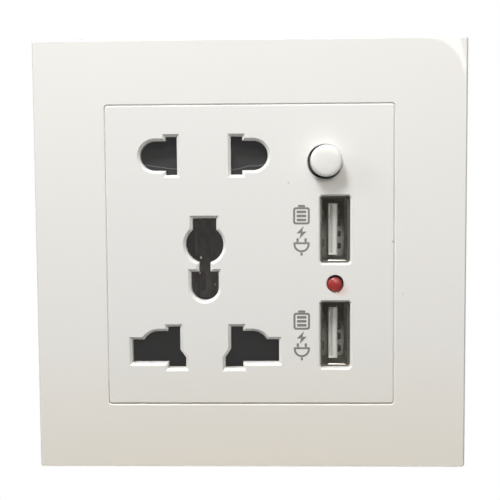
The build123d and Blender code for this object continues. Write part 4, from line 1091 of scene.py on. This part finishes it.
@dataclass
class IndicatorLamp(Assembly):
    """Red lens on a flange, with a bright cup on the leads inside it."""

    flange: float = 1.0 * MM
    flange_reach: float = 0.4 * MM
    dome: float = 0.75 * MM
    dome_steps: int = 10
    cup_radius: float = 0.8 * MM
    cup_floor: float = 0.36 * MM
    cup_wall: float = 0.12 * MM
    cup_depth: float = 0.5 * MM
    cup_rise: float = 2.0 * MM
    cup_steps: int = 32

    def build(self) -> None:
        """Turn the lens and its cup."""
        low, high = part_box("indicator_lamp")
        centre = Vector(((low.x + high.x) / 2, 0.0, (low.z + high.z) / 2))
        radius = (high.x - low.x) / 2 - self.flange_reach
        top, foot = -low.y, -high.y
        angles = [radians(90 * step / self.dome_steps) for step in range(self.dome_steps + 1)]
        lens = [
            *((radius * sin(a), top - self.dome * (1 - cos(a))) for a in angles),
            (radius, foot + self.flange),
            (radius + self.flange_reach, foot + self.flange),
            (radius + self.flange_reach, foot),
            (0.0, foot),
        ]
        lamp = self.dresser.show(turned(lens, centre), "lamp_lens", LAMP_RED, LAMP_RED.name)
        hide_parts("indicator_lamp")
        self.dresser.dress(LAMP_RED, "indicator_lamp")
        self.dresser.dress(LEAD_STEEL, "lamp_leads")
        rim = foot + self.cup_rise
        inside = rim - self.cup_depth
        cup = [
            (0.0, inside),
            (self.cup_floor, inside),
            (self.cup_radius - self.cup_wall, rim),
            (self.cup_radius, rim),
            (self.cup_radius, inside - self.cup_wall),
            (0.0, inside - self.cup_wall),
        ]
        self.dresser.show(turned(cup, centre, self.cup_steps), "lamp_cup", LAMP_CUP, LEAD_STEEL.name)


@dataclass(frozen=True)
class Patch:
    """A rectangle with round corners in a printed sign, in millimetres."""

    width: float
    height: float
    corner: float
    middle: Point = (0.0, 0.0)

    def outline(self) -> list[Point]:
        """Go round the patch.

        Returns:
            The outline's points, anticlockwise.
        """
        across = self.width / 2 - self.corner
        up = self.height / 2 - self.corner
        points: list[Point] = []
        for turn, (side, lift) in enumerate(((1, 1), (-1, 1), (-1, -1), (1, -1))):
            middle = (self.middle[0] + side * across, self.middle[1] + lift * up)
            points += arc(middle, self.corner, 90 * turn, 90 * turn + 90, CORNER_STEPS)
        return points


@dataclass
class PrintedSigns(Assembly):
    """Grey charging signs beside the ports: a battery, a bolt and a plug in one column.

    What is drawn, and the rows that it is drawn in, are in millimetres.
    """

    middle_x: float = 10.25 * MM
    layer: float = 0.012 * MM
    rise: float = 0.1 * MM
    battery_row: float = 2.75
    battery_case: tuple[Patch, Patch] = (Patch(3.3, 3.4, 0.5), Patch(2.5, 2.6, 0.22))
    battery_nub: Patch = Patch(1.4, 0.45, 0.12, (0, 1.95))
    battery_bars: tuple[Patch, ...] = tuple(Patch(1.9, 0.52, 0.08, (0, z)) for z in (-0.82, -0.02, 0.78))
    bolt_row: float = -0.55
    bolt_half: tuple[Point, ...] = ((0.45, 1.3), (-1.0, -0.18), (-0.15, -0.18))
    plug_row: float = -3.1
    plug_middle: Point = (0, 0.2)
    plug_radii: Point = (1.6, 1.2)
    plug_tops: Point = (0.6, 0.22)
    plug_steps: int = 14
    plug_pins: tuple[Patch, ...] = tuple(Patch(0.45, 0.75, 0.1, (x, 1.02)) for x in (-0.8, 0.8))
    plug_lead: Patch = Patch(0.45, 0.6, 0.1, (0, -1.75))

    def battery(self) -> list[list[Point]]:
        """Outlines of a battery with three bars, standing on its end."""
        return [patch.outline() for patch in (*self.battery_case, self.battery_nub, *self.battery_bars)]

    def bolt(self) -> list[list[Point]]:
        """Outline of a lightning bolt, its second half the first one turned round."""
        return [[*self.bolt_half, *((-x, -z) for x, z in self.bolt_half)]]

    def plug(self) -> list[list[Point]]:
        """Draw a plug seen from the side, pins up, with a short lead.

        Returns:
            Outlines of the body, its hollow, the pins and the lead.
        """
        body = [
            [(-radius, top), (radius, top), *arc(self.plug_middle, radius, 0, -180, self.plug_steps)]
            for radius, top in zip(self.plug_radii, self.plug_tops)
        ]
        return body + [patch.outline() for patch in (*self.plug_pins, self.plug_lead)]

    def build(self) -> None:
        """Print one sign beside each port."""
        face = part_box("socket_panel")[0].y
        rows = (
            (self.battery_row, self.battery()),
            (self.bolt_row, self.bolt()),
            (self.plug_row, self.plug()),
        )
        outlines = [
            [(x * MM, (z + lift) * MM) for x, z in outline] for lift, shapes in rows for outline in shapes
        ]
        for level in Level:
            low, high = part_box(level.node("port_shell"))
            middle_z = (low.z + high.z) / 2 + self.rise
            mesh = flat_print(outlines, Vector((self.middle_x, face, middle_z)), self.layer)
            self.dresser.show(mesh, level.node("sign"), SIGN_GREY, PANEL_WHITE.name)


class PowerSupply(Assembly):
    """Board and its parts inside the rear housing."""

    def build(self) -> None:
        """Dress the parts."""
        self.dresser.dress(BOARD_GREEN, "power_board")
        self.dresser.dress(FERRITE_GREY, "transformer_core")
        self.dresser.dress(COIL_YELLOW, "transformer_coil")
        self.dresser.dress(CAPACITOR_BLACK, "input_capacitor", "output_capacitor")
        self.dresser.dress(CHIP_BLACK, "control_chip")


# Studio


@dataclass(frozen=True)
class Lamp:
    """One soft lamp of the studio, turned to the socket."""

    name: str
    place: Place
    width: float
    height: float
    power: float
    colour: Colour = (1.0, 0.99, 0.97)

    def hang(self) -> None:
        """Put the lamp in the scene."""
        data = bpy.data.lights.new(self.name, "AREA")
        data.shape = "RECTANGLE"
        data.size = self.width
        data.size_y = self.height
        data.energy = self.power
        data.color = self.colour
        lamp = link(self.name, data)
        place = Vector(self.place)
        turn = (-place).to_track_quat("-Z", "Y").to_matrix().to_4x4()
        lamp.matrix_world = Matrix.Translation(place) @ turn
        lamp.visible_camera = False


@dataclass
class Studio:
    """Pale floor, soft light and the camera."""

    floor_level: float = -0.9
    floor_size: float = 6.0
    floor_near: float = 0.36
    floor_clear: float = 0.9
    floor_colour: Colour = (0.75, 0.74, 0.72)
    ambient: float = 0.04
    ambient_colour: Colour = (1.0, 0.95, 0.87)
    lamps: tuple[Lamp, ...] = (
        Lamp("key_lamp", (-0.128, -0.256, 0.41), 0.14, 0.14, 1.93, (0.985, 0.992, 1.0)),
        Lamp("upper_lamp", (0.048, -0.48, 0.264), 0.12, 0.1, 0.73),
        Lamp("top_lamp", (0.03, -0.15, 0.26), 0.3, 0.06, 0.12),
        Lamp("window_lamp", (-0.89, -0.31, 0.48), 0.3, 0.3, 2.7),
        Lamp("front_lamp", (0.2, -0.6, 0.25), 0.2, 0.2, 0.76, (1.0, 0.92, 0.8)),
        Lamp("right_lamp", (0.3, -0.25, 0.06), 0.2, 0.2, 0.05, (1.0, 0.9, 0.78)),
        Lamp("under_lamp", (0.0, 0.01, -0.3), 0.3, 0.04, 0.7),
        Lamp("rear_lamp", (0.3, 0.7, 0.35), 0.4, 0.4, 4.0),
    )
    card_distance: float = -0.8
    card_hollow: Point = (0.1495, 0.1102)
    card_hollow_radius: float = 0.0354
    card_hollow_bend: Point = (100.0, 4.0)
    hollow_steps: int = 24
    card_back: Point = (0.067, 0.107)
    card_back_radius: float = 0.1201
    card_back_bend: Point = (3.0, 26.0)
    back_steps: int = 12
    card_strength: float = 4.2
    camera_place: Place = (0.00594, -0.20898, 0.01636)
    camera_yaw: float = 0.02967
    camera_pitch: float = -0.07583
    camera_roll: float = 0.0065
    camera_lens: float = 72.61
    camera_sensor: float = 36.0
    camera_clip: float = 0.01

    @staticmethod
    def seen(graph: Graph) -> Socket:
        """One for a ray from the camera or through a glass, zero for light."""
        path = graph.add("LightPath").outputs
        return graph.math("MAXIMUM", path["Is Camera Ray"], path["Is Transmission Ray"])

    @staticmethod
    def sheet(name: str, corners: list[Place], material: Material) -> bpy.types.Object:
        """Put a flat sheet of one face in the scene.

        Args:
            name: Its name.
            corners: The points round its outline.
            material: What it is made of.

        Returns:
            The sheet.
        """
        mesh = bpy.data.meshes.new(name)
        mesh.from_pydata(corners, [], [tuple(range(len(corners)))])
        mesh.materials.append(material)
        return link(name, mesh)

    def floor(self) -> None:
        """Lay the floor, which fades to white away from the socket."""
        half = self.floor_size / 2
        corners = [(-half, -half), (half, -half), (half, half), (-half, half)]
        material, graph = new_material("floor_pale")
        away = graph.vector("LENGTH", graph.place())
        fade = graph.ramp(away, self.floor_near, self.floor_clear, interpolation_type="SMOOTHSTEP")
        pale = graph.add("BsdfDiffuse", {"Color": self.floor_colour})
        white = graph.add("Emission", {"Color": WHITE, "Strength": 1.0})
        share = graph.math("MULTIPLY", self.seen(graph), fade)
        mixed = graph.add("MixShader", {0: share, 1: pale.outputs[0], 2: white.outputs[0]})
        graph.add("OutputMaterial", {"Surface": mixed.outputs[0]})
        floor = self.sheet("floor", [(x, y, self.floor_level) for x, y in corners], material)

    def world(self) -> None:
        """Even light all round, white where it is seen."""
        world = bpy.data.worlds.new("studio")
        world.use_nodes = True
        graph = Graph(world.node_tree)
        soft = graph.add("Background", {"Color": self.ambient_colour, "Strength": self.ambient})
        white = graph.add("Background", {"Color": WHITE, "Strength": 1.0})
        mixed = graph.add("MixShader", {0: self.seen(graph), 1: soft.outputs[0], 2: white.outputs[0]})
        graph.add("OutputWorld", {"Surface": mixed.outputs[0]})
        bpy.context.scene.world = world

    def card(self) -> None:
        """Hang a bright crescent, which only shows as a gloss on the frame's corner."""
        outline = arc(self.card_hollow, self.card_hollow_radius, *self.card_hollow_bend, self.hollow_steps)
        outline += arc(self.card_back, self.card_back_radius, *self.card_back_bend, self.back_steps)
        material, graph = new_material("card_white")
        white = graph.add("Emission", {"Color": WHITE, "Strength": self.card_strength})
        graph.add("OutputMaterial", {"Surface": white.outputs[0]})
        card = self.sheet("gloss_card", [(x, self.card_distance, z) for x, z in outline], material)
        card.visible_camera = False
        card.visible_diffuse = False
        card.visible_transmission = False
        card.visible_shadow = False

    def camera(self) -> None:
        """Set the camera where the photograph was taken from."""
        data = bpy.data.cameras.new("camera")
        data.sensor_width = self.camera_sensor
        data.lens = self.camera_lens
        data.clip_start = self.camera_clip
        camera = link("camera", data)
        turn = Matrix.Rotation(self.camera_yaw, 4, "Z") @ Matrix.Rotation(self.camera_pitch, 4, "X")
        turn = turn @ Matrix.Rotation(self.camera_roll, 4, "Y") @ Matrix.Rotation(pi / 2, 4, "X")
        camera.matrix_world = Matrix.Translation(Vector(self.camera_place)) @ turn
        bpy.context.scene.camera = camera

    def build(self) -> None:
        """Set up floor, light and camera."""
        bpy.context.scene.view_settings.view_transform = "Standard"
        self.floor()
        self.world()
        for lamp in self.lamps:
            lamp.hang()
        self.card()
        self.camera()


def main() -> None:
    """Build every sub-assembly and the studio."""
    logging.basicConfig(level=logging.INFO)
    dresser = Dresser()
    for assembly in (
        Casing,
        Contacts,
        ChargingPorts,
        PushButton,
        ReturnSprings,
        IndicatorLamp,
        PrintedSigns,
        PowerSupply,
    ):
        assembly(dresser).build()
    Studio().build()


if __name__ == "__main__":
    main()
